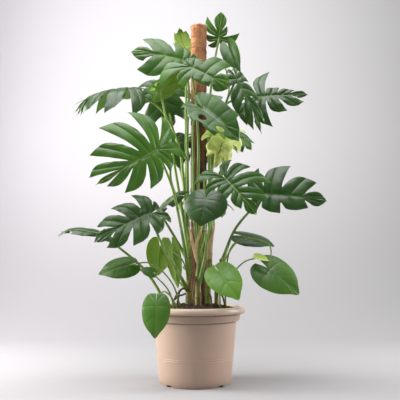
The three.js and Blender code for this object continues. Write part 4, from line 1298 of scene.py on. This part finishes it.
def thicken(points, quads, thickness):
    """A closed sheet from an open one: its points twice, above and below, and its faces with rims."""
    places = np.round(points * 20)
    _, first, index = np.unique(places, axis=0, return_index=True, return_inverse=True)
    index = index.ravel()
    merged = points[first]
    faces, edges = [], {}
    normals = np.zeros_like(merged)
    for quad in quads:
        ring = []
        for i in quad:
            if index[i] not in ring:
                ring.append(int(index[i]))
        if len(ring) < 3:
            continue
        faces.append(ring)
        a, b, c = merged[ring[0]], merged[ring[1]], merged[ring[2]]
        normal = np.cross(b - a, c - a)
        if len(ring) == 4:
            normal = normal + np.cross(c - a, merged[ring[3]] - a)
        for i, j in zip(ring, ring[1:] + ring[:1]):
            normals[i] += normal
            edges[(i, j)] = edges.get((i, j), 0) + 1
    normals /= np.maximum(np.linalg.norm(normals, axis=1), 1e-9)[:, None]
    half = normals * thickness / 2
    count = len(merged)
    closed = list(faces) + [[i + count for i in reversed(face)] for face in faces]
    closed += [(i, i + count, j + count, j) for i, j in edges if (j, i) not in edges]
    return np.vstack([merged + half, merged - half]), closed, first, count


def stem_point(name, height):
    path = smooth_line(STEMS[name]["line"], STEM_SEARCH_STEPS)
    return [float(np.interp(height, path[:, 2], path[:, i])) for i in range(3)]


def petiole_line(leaf):
    _, place = blade_surface(leaf)
    end = place(JUNCTION_OFFSET, 0, 1.5).tolist()
    if "root" in leaf:
        foot = [[*leaf["root"], z] for z in ROOT_LEVELS]
    else:
        foot = [stem_point(leaf["stem"], leaf["node"])]
    return foot + leaf["route"] + [end]


def add_petiole(shape, leaf):
    radii = PETIOLE_RADII if leaf["slit"] > 0 else THIN_PETIOLE_RADII
    path = smooth_line(petiole_line(leaf), PETIOLE_STEPS)
    share = np.linspace(0, 1, len(path))
    walked = share * np.linalg.norm(np.diff(path, axis=0), axis=1).sum()
    left = walked[-1] - walked
    radius = radii[0] + (radii[1] - radii[0]) * share**0.7
    radius = radius * (1 + 0.35 * hump(walked, 60))
    radius = radius * (1 + 0.28 * hump(left - 16, 12))
    radius = radius * np.clip(0.55 + left / 14, 0, 1)
    shape.add(*tube(path, radius, PETIOLE_SIDES, 0.88), 1)


def add_midrib(shape, leaf):
    """The raised midrib under the blade, which carries on from the petiole."""
    length, place = blade_surface(leaf)
    share = np.linspace(0.01, 0.96, MIDRIB_STEPS)
    thick = (PETIOLE_RADII if leaf["slit"] > 0 else THIN_PETIOLE_RADII)[1] * 0.55
    radius = thick * (1 - share) ** 0.6 + 0.25
    line = place(share * length, 0, 0.9 + radius * 0.75)
    shape.add(*tube(line, radius, MIDRIB_SIDES), 1)


def build_leaf(leaf, settings, materials):
    points, quads, ribs, veins = blade_sheet(leaf, settings)
    solid, faces, first, count = thicken(points, quads, settings.thickness / MM)
    shape = Shape("under", "rib_gap", "vein_gap", "shade")
    random = mulberry(leaf["seed"] + 90)
    # Without a shade in its row a leaf gets a random tone. A given shade is painted light and shade.
    shade = leaf.get("shade", random() * 0.8 - 0.2)
    sides = np.concatenate([np.zeros(count), np.ones(count)])
    gaps = {"rib_gap": np.tile(ribs[first], 2), "vein_gap": np.tile(veins[first], 2)}
    shape.add(solid, faces, 0, under=sides, shade=shade, **gaps)
    add_petiole(shape, leaf)
    add_midrib(shape, leaf)
    tone = leaf["tone"]
    # Young leaves get the paler stalks, and so do the lit ones, whose paler colours are painted light.
    stalk_tone = "young" if tone in ("young", "bright") else "green"
    skins = [materials[tone], materials["petiole_" + stalk_tone]]
    piece = shape.build("foliage_" + leaf["name"], skins, 60)
    seat(piece, ["leaf_" + leaf["name"]], "leaf_" + tone)


def build_leaves(settings):
    # The bright tone is painted light, for the leaves that the light shines through.
    # The dark tone is painted shade: a darker green for the leaves that lie in shade.
    # The young tone is the new leaves' own paler green, made paler still as painted light.
    tones = {
        "dark": (settings.dark, (66, 100, 44), (112, 144, 72), (108, 140, 60), 0.25, 0.4),
        "green": (settings.green, (86, 128, 46), (156, 184, 80), (128, 162, 62), 0.25, 0.55),
        "bright": (settings.bright, (124, 168, 56), (166, 198, 96), (148, 178, 70), 0.3, 0.5),
        "young": (settings.young, (228, 240, 136), (232, 242, 170), (222, 238, 134), 0.36, 0.4),
    }
    materials = {}
    for tone, (deep, fresh, vein, under, gloss, clear) in tones.items():
        skin = leaf_skin("leaf_" + tone, deep, srgb(*fresh), srgb(*vein), srgb(*under), gloss, clear)
        materials[tone] = skin
    stalks = {
        "petiole_green": ((146, 174, 84), (96, 130, 52)),
        "petiole_young": ((160, 190, 92), (116, 152, 62)),
    }
    for name, (pale, dark) in stalks.items():
        materials[name] = petiole_skin(name, srgb(*pale), srgb(*dark))
    for row in LEAVES:
        build_leaf({**COMMON_LEAF, **row}, settings, materials)


# ---- Stage ----------------------------------------------------------------------------------------------


def backdrop_paper(bright, dim):
    """Paper that gets greyer towards the right and towards the floor: painted shade."""

    def build(graph):
        side = graph.axis(0)
        height = graph.axis(2)
        # Painted shade: greyer to the right, away from the light on the left, and darker on the floor, which
        # the lamps light most.
        low = graph.mix(side.rise(-1.6, 1.6), [0.58 * c for c in bright], [0.68 * c for c in dim])
        high = graph.mix(side.rise(-1.6, 1.6), bright, dim)
        return {"Base Color": graph.mix(height.rise(0, 1.6), low, high), "Roughness": 0.9}

    return new_material("backdrop_paper", build, bright)


def build_stage(settings):
    front, back, bend, wall, side = -6.0, 1.2, 1.4, 5.0, 7.0
    bend_steps = 12
    profile = [(front, 0.0), (back, 0.0)]
    for step in range(1, bend_steps + 1):
        turn = step / bend_steps * math.pi / 2
        profile.append((back + bend * math.sin(turn), bend - bend * math.cos(turn)))
    profile.append((back + bend, wall))
    points = [(x, y, z) for y, z in profile for x in (-side, side)]
    faces = [(2 * i, 2 * i + 1, 2 * i + 3, 2 * i + 2) for i in range(len(profile) - 1)]
    mesh = bpy.data.meshes.new("backdrop")
    mesh.from_pydata(points, [], faces)
    mesh.materials.append(backdrop_paper(settings.paper, settings.shade))
    finish_mesh("backdrop", mesh)

    middle = (0, 0, 0.7)
    lamps = (
        ("key_softbox", (-2.2, 0.1, 1.2), middle, (1.2, 2.2), settings.key, (1.0, 0.985, 0.96)),
        ("fill_softbox", (2.3, 0.2, 1.1), middle, (1.0, 2.0), settings.fill, (1.0, 0.99, 0.98)),
        ("top_softbox", (-0.4, -0.9, 3.2), middle, (2.4, 2.0), settings.top, (1.0, 1.0, 1.0)),
        ("wall_softbox", (0, 0.5, 3.6), (0, 2.6, 1.4), (4.0, 1.0), settings.wall, (1.0, 1.0, 1.0)),
    )
    for name, where, aim, size, power, colour in lamps:
        light = bpy.data.lights.new(name, "AREA")
        light.shape = "RECTANGLE"
        light.size, light.size_y = size
        light.energy = power
        light.color = colour
        lamp = bpy.data.objects.new(name, light)
        lamp.location = where
        lamp.rotation_euler = (Vector(aim) - Vector(where)).to_track_quat("-Z", "Y").to_euler()
        bpy.context.scene.collection.objects.link(lamp)

    world = bpy.data.worlds.new("studio")
    world.use_nodes = True
    sky = world.node_tree.nodes["Background"]
    sky.inputs["Color"].default_value = (1.0, 0.99, 1.0, 1.0)
    sky.inputs["Strength"].default_value = settings.ambient
    bpy.context.scene.world = world

    camera = bpy.data.cameras.new("photo_camera")
    camera.sensor_width = 36.0
    camera.lens = settings.lens
    eye = bpy.data.objects.new("photo_camera", camera)
    eye.location = settings.eye
    eye.rotation_euler = (math.pi / 2 + settings.tilt, 0, 0)
    bpy.context.scene.collection.objects.link(eye)
    bpy.context.scene.camera = eye
    bpy.context.scene.view_settings.view_transform = "Standard"


# ---- Settings, operators and panel ----------------------------------------------------------------------


def colour_prop(name, description, red, green, blue):
    kind = {"size": 4, "subtype": "COLOR", "min": 0, "max": 1}
    return bpy.props.FloatVectorProperty(
        name=name, description=description, default=srgb(red, green, blue), **kind
    )


def number_prop(name, description, default, **kind):
    return bpy.props.FloatProperty(name=name, description=description, default=default, **kind)


def length_prop(name, description, default):
    return number_prop(name, description, default, unit="LENGTH", subtype="DISTANCE", precision=4)


class PotSettings(bpy.types.PropertyGroup):
    colour: colour_prop("Tub colour", "Colour of the tub's plastic", 198, 170, 150)
    line_depth: length_prop("Line relief", "How far the moulded lines stand out of the tub's side", 0.0008)
    crumb_density: number_prop("Crumb density", "Crumbs of bark for each square metre of soil", 26000)
    crumb_size: length_prop("Crumb size", "Radius of the largest crumbs of bark", 0.0032)


class PoleSettings(bpy.types.PropertyGroup):
    fibre_density: number_prop("Fibre density", "Coir fibres for each square metre of the sleeve", 15000)
    fibre_length: length_prop("Fibre length", "Length of a coir fibre", 0.022)
    fibre_thickness: length_prop("Fibre radius", "Radius of a coir fibre", 0.00035)
    wrap_pitch: length_prop("Thread pitch", "Height between two turns of the thread", 0.045)
    thread_thickness: length_prop("Thread radius", "Radius of the thread", 0.0006)


class StemSettings(bpy.types.PropertyGroup):
    node_spacing: length_prop("Node spacing", "Distance between two rings on a stem", 0.062)
    root_radius: length_prop("Root radius", "Radius of an aerial root where it leaves the stem", 0.0034)


class LeafSettings(bpy.types.PropertyGroup):
    # The dark colour is painted shade, a darker green for the leaves that lie in shade.
    dark: colour_prop("Shaded leaves", "Colour painted on the leaves that lie in shade", 42, 72, 30)
    green: colour_prop("Grown leaves", "Colour of the grown leaves", 58, 98, 34)
    bright: colour_prop("Lit leaves", "Colour of the leaves that the light shines through", 96, 146, 38)
    # The young leaves' colour is their own paler green, made paler still as painted light.
    young: colour_prop("Young leaves", "Colour of the newest leaves", 196, 236, 112)
    thickness: length_prop("Blade thickness", "Thickness of a leaf's blade", 0.001)
    vein_depth: length_prop("Vein depth", "How far a blade swells between its veins", 0.008)
    corner_rounding: number_prop("Finger rounding", "How much the corners of a finger are rounded off", 0.14)


class StageSettings(bpy.types.PropertyGroup):
    paper: colour_prop("Backdrop", "Colour of the backdrop on its bright side", 226, 223, 228)
    shade: colour_prop("Backdrop shade", "Colour of the backdrop on its dim side", 198, 197, 198)
    key: number_prop("Key light", "Power of the left softbox", 96, unit="POWER")
    fill: number_prop("Fill light", "Power of the right softbox", 50, unit="POWER")
    top: number_prop("Top light", "Power of the overhead softbox", 78, unit="POWER")
    wall: number_prop("Wall light", "Power of the backdrop's lamp", 52, unit="POWER")
    ambient: number_prop("Ambient", "Strength of the light all round", 0.08)
    lens: number_prop("Lens", "Focal length", 51.66, unit="CAMERA")
    tilt: number_prop("Tilt", "How far the camera looks up", 0.1213, unit="ROTATION")
    eye: bpy.props.FloatVectorProperty(
        name="Eye", description="Where the camera stands", default=(0.018, -2.2, 0.415), unit="LENGTH", size=3
    )


class MonsteraOperator:
    bl_options = {"REGISTER", "UNDO"}

    def execute(self, context):
        type(self).make(getattr(context.scene, self.settings))
        return {"FINISHED"}


class MONSTERA_OT_tub(MonsteraOperator, bpy.types.Operator):
    """Build the nursery tub"""

    bl_idname = "monstera.tub"
    bl_label = "Nursery tub"
    settings = "monstera_pot"
    make = build_tub


class MONSTERA_OT_soil(MonsteraOperator, bpy.types.Operator):
    """Fill the tub with potting mix"""

    bl_idname = "monstera.soil"
    bl_label = "Potting mix"
    settings = "monstera_pot"
    make = build_soil


class MONSTERA_OT_pole(MonsteraOperator, bpy.types.Operator):
    """Build the coir pole with its fibres and thread"""

    bl_idname = "monstera.pole"
    bl_label = "Coir pole"
    settings = "monstera_pole"
    make = build_pole


class MONSTERA_OT_stems(MonsteraOperator, bpy.types.Operator):
    """Grow the stems, their dried sheaths and aerial roots"""

    bl_idname = "monstera.stems"
    bl_label = "Stems and roots"
    settings = "monstera_stem"
    make = build_stems


class MONSTERA_OT_leaves(MonsteraOperator, bpy.types.Operator):
    """Grow the leaves"""

    bl_idname = "monstera.leaves"
    bl_label = "Leaves"
    settings = "monstera_leaf"
    make = build_leaves


class MONSTERA_OT_stage(MonsteraOperator, bpy.types.Operator):
    """Set up the backdrop, the lights and the camera"""

    bl_idname = "monstera.stage"
    bl_label = "Stage"
    settings = "monstera_stage"
    make = build_stage


GROUPS = {
    "monstera_pot": PotSettings,
    "monstera_pole": PoleSettings,
    "monstera_stem": StemSettings,
    "monstera_leaf": LeafSettings,
    "monstera_stage": StageSettings,
}
OPERATORS = (
    MONSTERA_OT_tub,
    MONSTERA_OT_soil,
    MONSTERA_OT_pole,
    MONSTERA_OT_stems,
    MONSTERA_OT_leaves,
    MONSTERA_OT_stage,
)


class MONSTERA_PT_panel(bpy.types.Panel):
    """The plant's sizes and colours, and the buttons that build it"""

    bl_idname = "MONSTERA_PT_panel"
    bl_label = "Potted monstera"
    bl_space_type = "VIEW_3D"
    bl_region_type = "UI"
    bl_category = "Monstera"

    def draw(self, context):
        for name, group in GROUPS.items():
            box = self.layout.box()
            for prop in group.__annotations__:
                box.prop(getattr(context.scene, name), prop)
            for operator in OPERATORS:
                if operator.settings == name:
                    box.operator(operator.bl_idname)


def register():
    for group in GROUPS.values():
        bpy.utils.register_class(group)
    for operator in OPERATORS:
        bpy.utils.register_class(operator)
    bpy.utils.register_class(MONSTERA_PT_panel)
    for name, group in GROUPS.items():
        setattr(bpy.types.Scene, name, bpy.props.PointerProperty(type=group))


def unregister():
    for name in GROUPS:
        delattr(bpy.types.Scene, name)
    bpy.utils.unregister_class(MONSTERA_PT_panel)
    for operator in reversed(OPERATORS):
        bpy.utils.unregister_class(operator)
    for group in reversed(GROUPS.values()):
        bpy.utils.unregister_class(group)


def main():
    register()
    bpy.ops.monstera.tub()
    bpy.ops.monstera.soil()
    bpy.ops.monstera.pole()
    bpy.ops.monstera.stems()
    bpy.ops.monstera.leaves()
    bpy.ops.monstera.stage()


if __name__ == "__main__":
    main()
